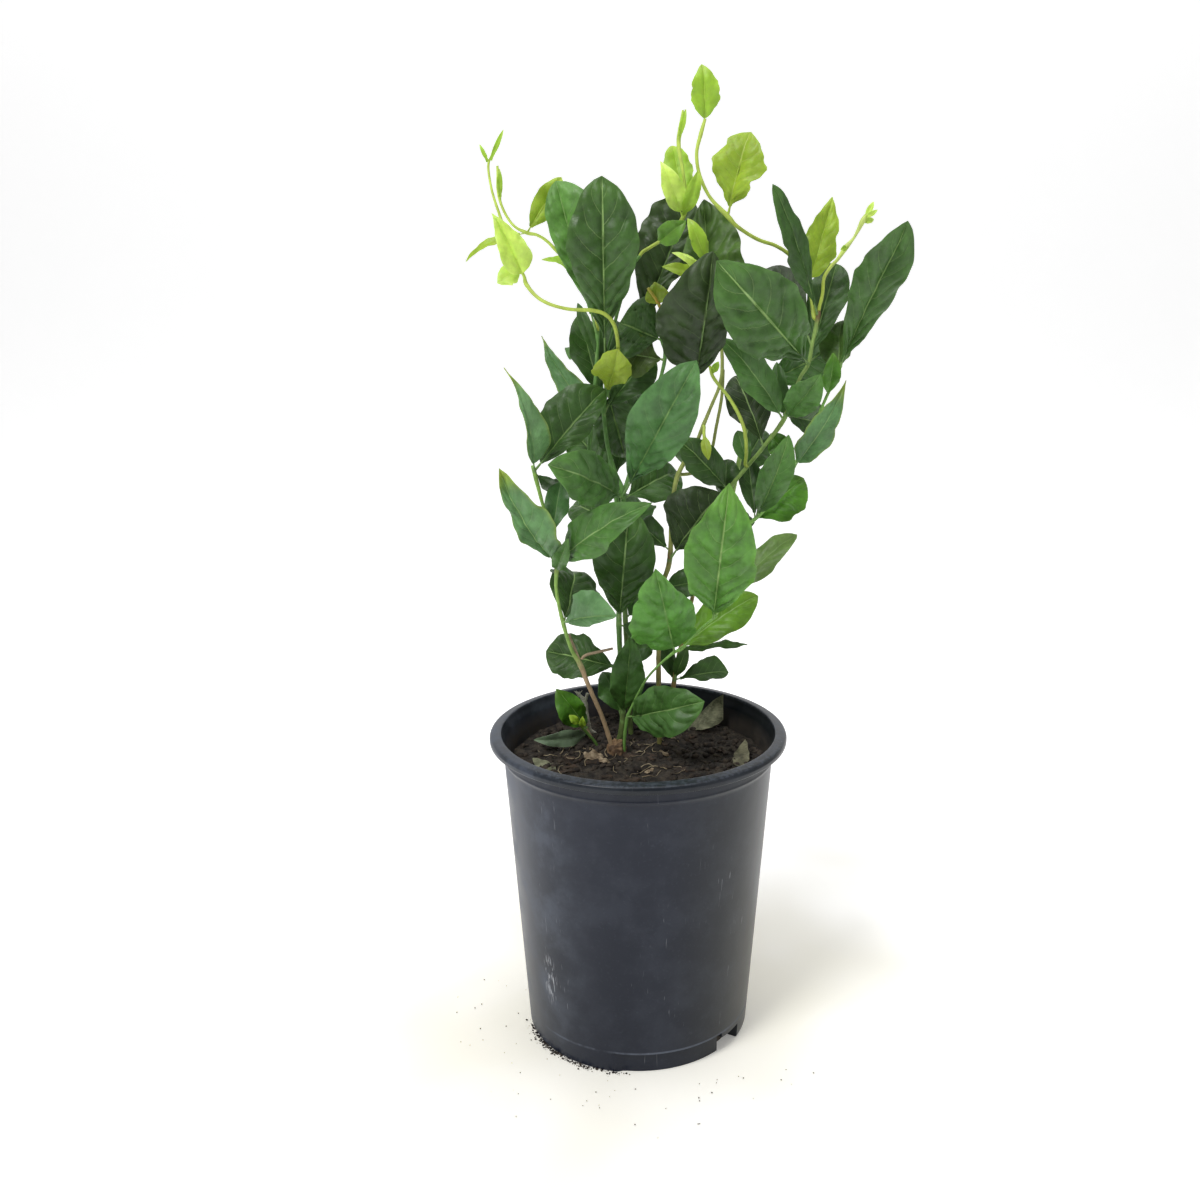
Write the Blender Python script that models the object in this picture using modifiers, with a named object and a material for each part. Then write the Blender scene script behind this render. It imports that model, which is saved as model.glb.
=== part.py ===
"""A potted jasmine: a nursery pot, its potting mix, the leafy stems, their pale young shoots and dry litter.

Frame: +Z up, origin at the middle of the pot's base, on the surface it stands on. The plant is seen from -Y.
Plant points are given as they are seen from a fixed eye in front of the pot: x and z on the middle plane
(y = 0), and a depth behind that plane, all in millimetres. at() turns them into places in space.
"""

import math
from typing import NamedTuple

import bmesh
import bpy
from mathutils import Vector

# Driving sizes, in millimetres
MM = 0.001
EYE = Vector((0.0, -656.0, 426.0))
GAP = 0.3
POT_HEIGHT = 177.0
LIP_RADIUS = 82.5
LIP_INNER_RADIUS = 76.2
LIP_DEPTH = 5.0
LIP_EDGE = 1.4
LIP_INSIDE = 4.0
WALL_TOP_RADIUS = 75.6
BASE_RADIUS = 63.5
WALL = 1.7
COLLAR_DEPTH = 8.5
COLLAR_PROUD = 1.0
FOOT_HEIGHT = 12.0
FOOT_INSET = 3.0
FOOT_STEP = 4.0
FLOOR = 3.0
FLOOR_RADIUS = 50.0
FLOOR_GROOVE = 1.5
FOOT_RING = 5.5
NOTCH_HEIGHT = 9.0
NOTCH_ANGLES = (46.0, 62.0)
PANEL_ANGLES = (-15.0, 46.0)
FOOT_REPEATS = 2
POT_STEPS = 36
SOIL_LEVEL = 157.0
SOIL_RINGS = 6
SOIL_LUMP = 1.1
SOIL_RISE = 1.5
SOIL_FOOT_GAP = 0.5
ROOT_DEPTH = 12.0
BLADE = 0.75
BLADE_RISE = 0.6
BLADE_FALL = 0.85
EDGE_ROLL = 0.12
CURL_START = 0.7
WAVES = 2.2
WAVE_SIZE = 1.5
WAVE_SHARE = 0.07
DRY_CURL = 0.16
PETIOLE_HALF = 0.8
TIP_HALF = 0.4
STEM_SIDES_LEVEL = 1
LONG_LEAF = 34.0
LONG_ROWS = 7
SHORT_ROWS = 6
TINY_LEAF = 15.0
TINY_ROWS = 4

# A six-sided stem's flats lie inside its circle, so its hole is widened by this share
HOLE_WIDER = 1 / math.cos(math.pi / 6)

# Colours, as linear red, green and blue
POT_COLOUR = (0.040, 0.046, 0.058)
SOIL_COLOUR = (0.026, 0.019, 0.015)
LEAF_COLOUR = (0.045, 0.130, 0.035)
SHOOT_COLOUR = (0.380, 0.500, 0.070)
DRY_COLOUR = (0.230, 0.170, 0.110)


class Leaf(NamedTuple):
    """One leaf: base and tip as (x, z, depth), its full width, and how it turns and bends."""

    base: tuple
    tip: tuple
    width: float
    roll: float = 0.0
    arch: float = 0.09
    curl: float = 0.06
    fold: float = 15.0
    petiole: float = 0.10
    twist: float = 0.0


class Spray(NamedTuple):
    """One leafy stem: its routes, each a list of (place, radius), and its leaves."""

    routes: list
    leaves: list
    rooted: bool = False


def at(x, z, depth):
    """The place that is seen at x, z on the middle plane and lies this far behind it."""
    reach = (depth - EYE.y) / -EYE.y
    return EYE + (Vector((x, 0.0, z)) - EYE) * reach


def route(spots):
    """Places and radii along a stem from its (x, z, depth, radius) spots."""
    return [(at(x, z, depth), radius) for x, z, depth, radius in spots]


def onward(parent, spots):
    """A young stem that goes on from the cut end of its parent, a small gap beyond it."""
    end = parent[-1][0]
    way = (end - parent[-2][0]).normalized()
    young = spots[0][3]
    return [(end + way * GAP, young), (end + way * (GAP + 2 * young), young)] + route(spots)


def beside(parent, index, spots):
    """A young stem that leaves the side of its parent, a small gap off the bark."""
    foot, radius = parent[index]
    way = (parent[min(index + 1, len(parent) - 1)][0] - parent[index - 1][0]).normalized()
    out = at(*spots[0][:3]) - foot
    out = (out - way * out.dot(way)).normalized()
    young = spots[0][3]
    return [(foot + out * (radius + GAP), young), (foot + out * (radius + GAP + young), young)] + route(spots)


def nearest_on(routes, place):
    """The point of the stems' centre lines that is nearest to a place."""
    best = None
    for line in routes:
        for (start, _), (end, _) in zip(line, line[1:]):
            run = end - start
            share = max(0.0, min(1.0, (place - start).dot(run) / run.length_squared))
            point = start + run * share
            if best is None or (point - place).length < (best - place).length:
                best = point
    return best


def outline(t):
    """Half width of an egg-shaped blade at t from its base to its tip, where 1 is the widest."""
    widest = BLADE_RISE / (BLADE_RISE + BLADE_FALL)
    full = widest ** BLADE_RISE * (1.0 - widest) ** BLADE_FALL
    return t ** BLADE_RISE * (1.0 - t) ** BLADE_FALL / full


def blade_frame(leaf, base):
    """The leaf's direction, upper side, across direction and length. At roll 0 the upper side faces the eye."""
    tip = at(*leaf.tip)
    length = (tip - base).length
    along = (tip - base) / length
    upper = EYE - (tip + base) / 2
    upper = (upper - along * upper.dot(along)).normalized()
    across = along.cross(upper)
    turn = math.radians(leaf.roll)
    return (
        along,
        upper * math.cos(turn) + across * math.sin(turn),
        across * math.cos(turn) - upper * math.sin(turn),
        length,
    )


def blade_point(leaf, base, u, v):
    """The place on the leaf at u along it, 0 to 1, and v across it, -1 to 1."""
    along, upper, across, length = blade_frame(leaf, base)
    t = max(0.0, (u - leaf.petiole) / (1.0 - leaf.petiole))
    half = max(PETIOLE_HALF, leaf.width / 2 * outline(t)) if t < 1.0 else TIP_HALF
    turn = math.radians(leaf.twist) * u
    up = upper * math.cos(turn) + across * math.sin(turn)
    side = across * math.cos(turn) - upper * math.sin(turn)
    curled = max(0.0, (u - CURL_START) / (1 - CURL_START)) ** 2
    bow = length * (leaf.arch * 4 * u * (1 - u) - leaf.curl * curled)
    fold = math.radians(leaf.fold)
    lift = half * (abs(v) * math.sin(fold) - v * v * EDGE_ROLL)
    # Each leaf waves in its own way, and its two sides not alike
    phase = leaf.base[0] * 0.37 + leaf.tip[1] * 0.23 + (0.22 if v > 0 else 0.0)
    swing = math.sin(math.tau * (WAVES * t + phase)) * math.sin(math.pi * min(1.0, t)) ** 0.5
    wave = v * v * min(WAVE_SIZE, WAVE_SHARE * leaf.width) * swing
    return base + along * length * u + up * (bow + lift + wave) + side * half * v * math.cos(fold)


def blade(name, leaf, routes):
    """A leaf with its stalk: a grid bent to the leaf's form, split into triangles and made solid."""
    base = nearest_on(routes, at(*leaf.base)) if routes else at(*leaf.base)
    length = (at(*leaf.tip) - base).length
    rows = LONG_ROWS if length > LONG_LEAF else SHORT_ROWS if length > TINY_LEAF else TINY_ROWS
    grid = bmesh.new()
    bmesh.ops.create_grid(grid, x_segments=2, y_segments=rows, size=1.0)
    for corner in grid.verts:
        row = round((corner.co.y + 1) / 2 * rows)
        u = 0.0 if row == 0 else leaf.petiole + (1 - leaf.petiole) * (row - 1) / (rows - 1)
        corner.co = blade_point(leaf, base, u, corner.co.x) * MM
    bmesh.ops.triangulate(grid, faces=grid.faces[:])
    mesh = bpy.data.meshes.new(name)
    grid.to_mesh(mesh)
    grid.free()
    blade_object = bpy.data.objects.new(name, mesh)
    solid = blade_object.modifiers.new("Blade", "SOLIDIFY")
    solid.thickness = BLADE * MM
    solid.offset = 0.0
    return blade_object


def tube(name, line, wider=0.0):
    """A stem as a mesh, from a bevelled poly curve along a line of (place, radius)."""
    curve = bpy.data.curves.new(name, "CURVE")
    curve.dimensions = "3D"
    curve.bevel_depth = MM
    curve.bevel_resolution = STEM_SIDES_LEVEL
    curve.use_fill_caps = True
    spline = curve.splines.new("POLY")
    spline.points.add(len(line) - 1)
    for point, (place, radius) in zip(spline.points, line):
        point.co = (*(place * MM), 1.0)
        point.radius = (radius + wider) * (HOLE_WIDER if wider else 1.0)
    curve_object = bpy.data.objects.new(name, curve)
    bpy.context.scene.collection.objects.link(curve_object)
    bpy.context.view_layer.update()
    graph = bpy.context.evaluated_depsgraph_get()
    mesh = bpy.data.meshes.new_from_object(curve_object.evaluated_get(graph))
    bpy.data.objects.remove(curve_object)
    bpy.data.curves.remove(curve)
    shape = bmesh.new()
    shape.from_mesh(mesh)
    bmesh.ops.remove_doubles(shape, verts=shape.verts[:], dist=1e-6)
    bmesh.ops.recalc_face_normals(shape, faces=shape.faces[:])
    shape.to_mesh(mesh)
    shape.free()
    mesh.name = name
    return bpy.data.objects.new(name, mesh)


def material(name, colour, roughness):
    """A plain material of one colour."""
    finish = bpy.data.materials.new(name)
    finish.use_nodes = True
    shader = finish.node_tree.nodes["Principled BSDF"]
    shader.inputs["Base Color"].default_value = (*colour, 1.0)
    shader.inputs["Roughness"].default_value = roughness
    shader.inputs["Metallic"].default_value = 0.0
    return finish


def island_volume(faces):
    """The volume that a group of triangles encloses."""
    total = 0.0
    for face in faces:
        a, b, c = (corner.co for corner in face.verts)
        total += a.dot(b.cross(c)) / 6
    return total


def keep_one_body(mesh):
    """Keeps the largest closed body of a mesh, without sealed hollows and loose scrap."""
    shape = bmesh.new()
    shape.from_mesh(mesh)
    bmesh.ops.triangulate(shape, faces=shape.faces[:])
    waiting = set(shape.faces)
    islands = []
    while waiting:
        island = set()
        edge_of = [waiting.pop()]
        while edge_of:
            face = edge_of.pop()
            island.add(face)
            for edge in face.edges:
                for other in edge.link_faces:
                    if other in waiting:
                        waiting.remove(other)
                        edge_of.append(other)
        islands.append(island)
    largest = max(islands, key=island_volume)
    spare = [face for island in islands if island is not largest for face in island]
    bmesh.ops.delete(shape, geom=spare, context="FACES")
    shape.to_mesh(mesh)
    shape.free()


def fuse(first, others):
    """Joins other objects into the first by one Boolean union, and removes them."""
    group = bpy.data.collections.new(first.name + "_pieces")
    bpy.context.scene.collection.children.link(group)
    for other in others:
        group.objects.link(other)
    union = first.modifiers.new("Union", "BOOLEAN")
    union.operation = "UNION"
    union.operand_type = "COLLECTION"
    union.collection = group
    union.solver = "EXACT"
    bpy.context.view_layer.update()
    graph = bpy.context.evaluated_depsgraph_get()
    joined = bpy.data.meshes.new_from_object(first.evaluated_get(graph))
    first.modifiers.clear()
    first.data = joined
    for other in others:
        bpy.data.objects.remove(other)
    bpy.data.collections.remove(group)
    keep_one_body(joined)


def build_spray(name, spray, finish, parts):
    """A leafy stem as one solid: its stems and blades fused together."""
    tubes = [tube(f"{name}_stem_{i}", line) for i, line in enumerate(spray.routes)]
    blades = [blade(f"{name}_leaf_{i}", leaf, spray.routes) for i, leaf in enumerate(spray.leaves)]
    body = tubes[0]
    parts.objects.link(body)
    fuse(body, tubes[1:] + blades)
    body.name = name
    body.data.name = name
    body.data.materials.clear()
    body.data.materials.append(finish)
    return body


def rooted(spots):
    """A route whose first spot stands on the mix, lengthened straight down into its hole."""
    line = route(spots)
    place, radius = line[0]
    line[0] = (Vector((place.x, place.y, SOIL_LEVEL)), radius)
    return [(Vector((place.x, place.y, SOIL_LEVEL - ROOT_DEPTH)), radius)] + line


def wall_radius(z):
    """The outer radius of the pot's wall at a height."""
    return BASE_RADIUS + (WALL_TOP_RADIUS - BASE_RADIUS) * z / POT_HEIGHT


def pot_profile():
    """The pot's section as (radius, z): up the inside, over the lip and down the outside."""
    lip_bottom = POT_HEIGHT - LIP_DEPTH
    collar_bottom = lip_bottom - COLLAR_DEPTH
    foot_radius = wall_radius(FOOT_HEIGHT) - FOOT_INSET - WALL
    return [
        (0.0, FLOOR),
        (foot_radius, FLOOR),
        (foot_radius, FOOT_HEIGHT),
        (wall_radius(FOOT_HEIGHT + FOOT_STEP) - WALL, FOOT_HEIGHT + FOOT_STEP),
        (wall_radius(collar_bottom) - WALL, collar_bottom),
        (wall_radius(lip_bottom) - WALL + COLLAR_PROUD, lip_bottom),
        (LIP_INNER_RADIUS, lip_bottom + LIP_INSIDE),
        (LIP_INNER_RADIUS, POT_HEIGHT),
        (LIP_RADIUS - LIP_EDGE, POT_HEIGHT),
        (LIP_RADIUS, POT_HEIGHT - LIP_EDGE),
        (LIP_RADIUS, lip_bottom + LIP_EDGE),
        (LIP_RADIUS - LIP_EDGE, lip_bottom),
        (wall_radius(lip_bottom) + COLLAR_PROUD, lip_bottom),
        (wall_radius(collar_bottom) + COLLAR_PROUD, collar_bottom),
        (wall_radius(collar_bottom), collar_bottom - COLLAR_PROUD),
        (wall_radius(FOOT_HEIGHT), FOOT_HEIGHT),
        (BASE_RADIUS, 0.0),
        (BASE_RADIUS - FOOT_RING, 0.0),
        (BASE_RADIUS - FOOT_RING - FLOOR_GROOVE, FLOOR_GROOVE),
        (FLOOR_RADIUS + FLOOR_GROOVE, FLOOR_GROOVE),
        (FLOOR_RADIUS, 0.0),
        (0.0, 0.0),
    ]


def turned(name, profile, steps):
    """A turned solid from a (radius, z) profile that starts and ends on the axis."""
    mesh = bpy.data.meshes.new(name)
    points = [(radius * MM, 0.0, z * MM) for radius, z in profile]
    edges = [(i, i + 1) for i in range(len(points) - 1)]
    mesh.from_pydata(points, edges, [])
    turned_object = bpy.data.objects.new(name, mesh)
    screw = turned_object.modifiers.new("Turn", "SCREW")
    screw.axis = "Z"
    screw.angle = math.tau
    screw.steps = steps
    screw.render_steps = steps
    screw.use_merge_vertices = True
    screw.merge_threshold = 1e-5
    return turned_object


def ring_sector(name, inner, outer, bottom, top, start, end, cutters):
    """A cutter that spans part of a turn. Angles are in degrees from the front, towards +X."""
    shape = bmesh.new()
    corners = ((inner, top), (outer, top), (outer, bottom), (inner, bottom))
    section = shape.faces.new([shape.verts.new((radius * MM, 0.0, z * MM)) for radius, z in corners])
    bmesh.ops.spin(
        shape,
        geom=[section, *section.edges, *section.verts],
        axis=(0.0, 0.0, 1.0),
        cent=(0.0, 0.0, 0.0),
        angle=math.radians(end - start),
        steps=max(2, round((end - start) / 360 * POT_STEPS)),
    )
    bmesh.ops.recalc_face_normals(shape, faces=shape.faces[:])
    mesh = bpy.data.meshes.new(name)
    shape.to_mesh(mesh)
    shape.free()
    sector = bpy.data.objects.new(name, mesh)
    sector.rotation_euler.z = math.radians(start - 90)
    sector.hide_render = True
    sector.display_type = "WIRE"
    cutters.objects.link(sector)
    return sector


def cut(target, cutter):
    """Takes a cutter out of a target."""
    taken = target.modifiers.new("Cut " + cutter.name, "BOOLEAN")
    taken.operation = "DIFFERENCE"
    taken.object = cutter
    taken.solver = "EXACT"


def build_pot(parts, cutters):
    """The nursery pot: tapered wall, rolled double rim, recessed foot panels and drain notches."""
    pot = turned("pot", pot_profile(), POT_STEPS)
    parts.objects.link(pot)
    pot.data.materials.append(material("pot_plastic", POT_COLOUR, 0.5))
    for repeat in range(FOOT_REPEATS):
        shift = 360 / FOOT_REPEATS * repeat
        recess = ring_sector(
            f"panel_cutter_{repeat}",
            wall_radius(FOOT_HEIGHT) - FOOT_INSET,
            LIP_RADIUS,
            -1.0,
            FOOT_HEIGHT,
            PANEL_ANGLES[0] + shift,
            PANEL_ANGLES[1] + shift,
            cutters,
        )
        cut(pot, recess)
        notch = ring_sector(
            f"notch_cutter_{repeat}",
            FLOOR_RADIUS + 2 * FLOOR_GROOVE,
            LIP_RADIUS,
            -1.0,
            NOTCH_HEIGHT,
            NOTCH_ANGLES[0] + shift,
            NOTCH_ANGLES[1] + shift,
            cutters,
        )
        cut(pot, notch)
    return pot


def soil_height(x, y):
    """The height of the mix's surface, with lumps some 30 mm wide, and a little higher towards the wall."""
    lumps = math.sin(x * 0.19 + 1.1) * math.cos(y * 0.16 - 0.4) + 0.6 * math.sin(x * 0.11 - y * 0.23)
    return SOIL_LEVEL + SOIL_LUMP * lumps + SOIL_RISE * ((x * x + y * y) / WALL_TOP_RADIUS ** 2) ** 2


def build_soil(parts, cutters, sprays):
    """The potting mix: it fills the pot, and each stem stands in a plain hole of its own."""
    inside = WALL + GAP
    foot_radius = wall_radius(FOOT_HEIGHT) - FOOT_INSET - inside
    top_radius = wall_radius(SOIL_LEVEL) - inside
    rings = [(top_radius * i / SOIL_RINGS, SOIL_LEVEL) for i in range(SOIL_RINGS + 1)]
    soil = turned(
        "potting_mix",
        rings
        + [
            (wall_radius(FOOT_HEIGHT + FOOT_STEP) - inside, FOOT_HEIGHT + FOOT_STEP + 1.0),
            (foot_radius, FOOT_HEIGHT + SOIL_FOOT_GAP),
            (foot_radius, FLOOR + GAP),
            (0.0, FLOOR + GAP),
        ],
        POT_STEPS,
    )
    parts.objects.link(soil)
    bpy.context.view_layer.update()
    graph = bpy.context.evaluated_depsgraph_get()
    mesh = bpy.data.meshes.new_from_object(soil.evaluated_get(graph))
    soil.modifiers.clear()
    soil.data = mesh
    for vertex in mesh.vertices:
        if vertex.co.z > (SOIL_LEVEL - SOIL_LUMP) * MM:
            vertex.co.z = soil_height(vertex.co.x / MM, vertex.co.y / MM) * MM
    mesh.materials.append(material("potting_mix", SOIL_COLOUR, 0.95))
    for name, spray in sprays.items():
        if spray.rooted:
            foot, radius = spray.routes[0][0]
            line = [(foot - Vector((0.0, 0.0, 2 * GAP)), radius), *spray.routes[0][1:3]]
            hole = tube(f"{name}_hole", line, GAP)
            hole.hide_render = True
            hole.display_type = "WIRE"
            cutters.objects.link(hole)
            cut(soil, hole)
    return soil


def front_left_stem():
    """The woody stem that leans to the left and turns green above its first node."""
    main = rooted([
        (-14, 162, 11, 1.9), (-16, 170, 10, 1.8), (-20, 183, 8, 1.6), (-24, 193, 6, 1.6), (-28, 203, 4, 1.6),
        (-32, 214, 2, 2.1), (-36, 221, 0, 1.2), (-39, 230, -2, 1.2), (-41, 238, -3, 1.5), (-43, 247, -4, 1.1),
        (-44.5, 258, -5, 1.1), (-44, 271, -6, 1.7), (-46, 285, -7, 1.0), (-50, 300, -8, 1.0),
        (-55, 321, -10, 1.5), (-55.5, 324, -10, 1.1),
    ])
    stub_up = route([(-32, 215, 2, 1.1), (-38, 231, 3, 0.9)])
    stub_right = route([(-31, 217, 2, 1.0), (-28, 219.5, 1, 0.9), (-14, 223, -4, 0.7)])
    return Spray(
        [main, stub_up, stub_right],
        [
            Leaf((-41, 238, -3), (-14, 242, -32), 23, roll=-12),
            Leaf((-41, 238, -3), (-30, 268, 34), 26, roll=18),
            Leaf((-44, 271, -6), (-74, 321, -30), 22, roll=-28, curl=0.02, fold=24),
            Leaf((-44, 271, -6), (4, 304, -40), 24, roll=-20),
            Leaf((-43.5, 267, -6), (-38, 283, -28), 9),
            Leaf((-46, 286, -7), (-41, 316, 2), 14, roll=-8, arch=0.0),
            Leaf((-55, 321, -10), (-63, 371, -34), 15, roll=30, curl=0.10),
            Leaf((-55, 321, -10), (-17, 361, 4), 24, roll=-10, arch=0.05),
            Leaf((-55, 320, -10), (-41, 314, 27), 10, roll=30),
        ],
        rooted=True,
    )


def centre_stem():
    """The main stem in the middle, which forks at half its height."""
    main = rooted([
        (-12, 163, 21, 3.0), (-10, 172, 21, 2.5), (-8.5, 184, 21, 2.4), (-9.5, 200, 20, 1.9),
        (-10, 220, 19, 1.9), (-10.5, 238, 17, 2.3), (-10, 260, 15, 1.7), (-9, 285, 12, 1.7), (-8, 308, 10, 2.1),
        (-12, 320, 12, 1.5), (-16, 334, 13, 1.4), (-18, 352, 12, 1.4), (-17, 361, 11, 1.7), (-15.5, 364, 12, 1.3),
    ])
    left = route([
        (-8, 308, 10, 1.6), (-17, 318, 8, 1.4), (-25, 328, 6, 1.3), (-25.5, 338, 6, 1.3), (-24.5, 347, 7, 1.6),
        (-22.5, 365, 8, 1.2), (-21, 385, 9, 1.2), (-21, 391, 9, 1.5), (-21, 394, 9.5, 1.1),
    ])
    inner = route([
        (-8, 308, 10, 1.5), (-4, 322, 15, 1.2), (2, 340, 14, 1.2), (8, 358, 10, 1.2), (12.5, 373, 8, 1.1),
        (14, 383, 7, 1.3), (12, 390, 6, 1.1), (11.5, 403, 4, 1.1),
    ])
    short = route([(2, 340, 14, 1.1), (14, 350, 5, 1.0), (24, 358, -2, 1.0), (29, 366, -6, 1.2)])
    rising = route([
        (-18, 350, 12, 1.1), (-19, 362, 22, 1.0), (-18, 376, 25, 1.0), (-14, 390, 23, 1.0), (-10, 405, 17, 1.0),
        (-4, 424, 9, 1.0), (1, 431, 8, 1.0),
    ])
    return Spray(
        [main, left, inner, short, rising],
        [
            Leaf((-9.5, 212, 20), (-50, 221, 30), 28, roll=10, arch=0.02),
            Leaf((-10.5, 238, 17), (-5, 300, -8), 33),
            Leaf((-10.5, 237, 17), (12, 224, 20), 18, roll=-30),
            Leaf((-8.5, 184, 21), (-4, 229, 10), 15, roll=20),
            Leaf((-9, 181, 21), (-19, 210, 34), 14, roll=20, petiole=0.2),
            Leaf((-8, 308, 10), (28, 377, -50), 34, petiole=0.16),
            Leaf((-8, 306, 10), (-44, 325, -38), 28, roll=16),
            Leaf((-8, 306, 10), (22, 322, 38), 24, roll=-12),
            Leaf((-17, 356, 11), (-2, 328, 34), 19, roll=20, arch=0.0),
            Leaf((-18, 353, 12), (4, 369, 22), 15, roll=-10, arch=0.0),
            Leaf((-18, 353, 12), (-30, 402, 18), 21, roll=12, arch=0.01, petiole=0.2),
            Leaf((-17, 361, 10), (-18, 467, -32), 30, petiole=0.30, arch=0.03),
            Leaf((-24.5, 347, 7), (-52, 392, 24), 16, roll=-20, curl=0.10, arch=0.0),
            Leaf((-21, 391, 9), (-46, 467, -2), 25, petiole=0.16),
            Leaf((-21.5, 380, 9), (-31, 408, 16), 7),
            Leaf((-17.5, 351, 12), (31, 463, 42), 30, petiole=0.30, arch=-0.02),
            Leaf((12.5, 389, 6), (-9, 397, 9), 24, roll=8, arch=0.04),
            Leaf((13, 379, 7), (-6, 383, 14), 17, roll=-10),
            Leaf((29, 366, -6), (38, 431, -38), 29, roll=6),
        ],
        rooted=True,
    )


def middle_stem():
    """The olive stem right of the middle, whose two tips cross each other."""
    main = rooted([
        (12, 164, 22, 2.2), (11, 200, 18, 1.9), (11.5, 225, 15, 1.8), (13, 257, 11, 1.8), (17, 273, 9, 2.4),
        (18, 300, 8, 1.6), (21, 319, 8, 2.0), (30, 335, 6, 1.3), (34, 345, 5, 1.6), (38, 355, 5, 1.2),
        (42, 365, 5, 1.2), (43.5, 374, 4, 1.3), (43, 386, 3, 1.2), (42, 400, 1, 1.1), (39, 413, -2, 1.0),
    ])
    side = route([
        (21, 319, 8, 1.3), (31, 321, 14, 1.2), (38, 330, 14, 1.2), (41, 345, 12, 1.1), (43.5, 360, 9, 1.1),
        (44, 374, 5, 1.1),
    ])
    return Spray(
        [main, side],
        [
            Leaf((13, 257, 11), (34, 261, 13), 17, roll=-10),
            Leaf((17, 273, 9), (44, 309, 1), 25, roll=-14, petiole=0.16),
            Leaf((17, 278, 9), (-4, 294, 36), 17, roll=20),
            Leaf((42, 392, 2), (38, 463, 28), 26, roll=-15, petiole=0.14, arch=0.02),
            Leaf((31, 321, 14), (20, 338, 34), 14, roll=20),
        ],
        rooted=True,
    )


def front_right_stem():
    """The light green stem that comes forward to the right, with the brightest leaves."""
    main = rooted([
        (-8, 161, 10, 1.6), (-7.5, 172, 9, 1.5), (-6, 183, 8, 1.7), (-4, 188, 7, 1.1), (0, 197, 5, 1.0),
        (5, 206, 2, 1.0), (12, 214, -2, 1.0), (20, 221, -6, 1.5), (24, 222.5, -8, 1.0), (30, 230, -12, 1.0),
        (36, 236, -16, 1.0), (41, 240, -20, 1.3), (43, 241.5, -21, 1.0),
    ])
    return Spray(
        [main],
        [
            Leaf((-6, 183, 8), (37, 193, -30), 30, roll=6),
            Leaf((20, 221, -6), (10, 265, -46), 37),
            Leaf((21, 221, -6), (65, 254, 6), 24, roll=-14),
            Leaf((21, 221, -6), (61, 227, 6), 14, roll=72),
            Leaf((41, 240, -20), (47, 312, -60), 38),
            Leaf((41, 240, -20), (84, 288, -14), 22, roll=-24),
        ],
        rooted=True,
    )


def right_stem():
    """The long stem that arches out to the right behind the bright leaves."""
    main = rooted([
        (16, 166, 30, 2.2), (18, 186, 28, 2.0), (20, 205, 26, 2.2), (22, 218, 26, 1.7), (27, 240, 25, 1.7),
        (33, 268, 22, 1.7), (41, 296, 16, 1.6), (48, 311, 11, 1.9), (58, 324, 8, 1.5), (66, 334, 5, 1.5),
        (76, 348, 0, 2.0), (80, 360, 1, 1.3), (84, 370, 2, 1.3), (88, 377, 3, 1.6), (89.5, 386, 3, 1.3),
        (92, 400, 4, 1.8), (92.5, 404, 4, 1.2),
    ])
    return Spray(
        [main],
        [
            Leaf((20, 205, 26), (51, 207, 32), 15, roll=-20),
            Leaf((20, 204, 26), (11, 228, 34), 11, roll=20),
            Leaf((20.5, 206, 26), (27, 224, 22), 8),
            Leaf((48, 311, 11), (22, 338, -5), 18, roll=18, arch=0.03),
            Leaf((46, 308, 12), (47, 328, 22), 16, roll=-10),
            Leaf((66, 334, 5), (50, 372, 28), 24, roll=12),
            Leaf((58, 324, 8), (52, 343, 17), 10),
            Leaf((76, 348, 0), (44, 390, -13), 19, roll=20),
            Leaf((76, 349, 0), (71, 378, 7), 11, roll=-20, arch=0.0),
            Leaf((77, 349, 0), (94, 370, -22), 18, roll=12),
            Leaf((78, 350, 0), (97, 361, 28), 12, arch=0.02),
            Leaf((88, 377, 3), (43, 428, -50), 37, petiole=0.06),
            Leaf((88, 377, 3), (101, 429, 34), 22, arch=0.02),
            Leaf((89.5, 386, 3), (65, 427, 38), 17, roll=30),
            Leaf((92, 401, 4), (69, 467, -20), 16, roll=26, curl=0.12, twist=30),
        ],
        rooted=True,
    )


def far_right_stem(parent):
    """The branch that leaves the right stem behind the largest leaves and reaches furthest out."""
    main = beside(parent, 6, [
        (43, 282, 19, 1.3), (54, 291, 10, 1.3), (62, 295, 5, 1.7), (75, 310, 3, 1.3), (83, 325, 3, 1.6),
        (90, 340, 4, 1.2), (98, 360, 7, 1.2), (104, 374, 9, 1.5), (105, 377, 9, 1.1),
    ])
    return Spray(
        [main],
        [
            Leaf((62, 293, 5), (88, 318, 15), 22, roll=-6, petiole=0.08, arch=0.0),
            Leaf((62, 296, 5), (79, 338, -22), 18, roll=14),
            Leaf((62, 296, 5), (58, 328, 25), 14, roll=10, arch=0.0),
            Leaf((83, 325, 3), (69, 341, 12), 13, roll=-10),
            Leaf((83, 322, 3), (108, 365, -20), 16, roll=16, curl=0.12),
            Leaf((104, 374, 9), (133, 447, -12), 26, roll=18, arch=-0.05),
            Leaf((103, 372, 9), (104, 400, 26), 12, roll=-20, arch=0.0),
            Leaf((98, 361, 7), (101, 382, 0), 10, roll=15),
        ],
    )


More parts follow.
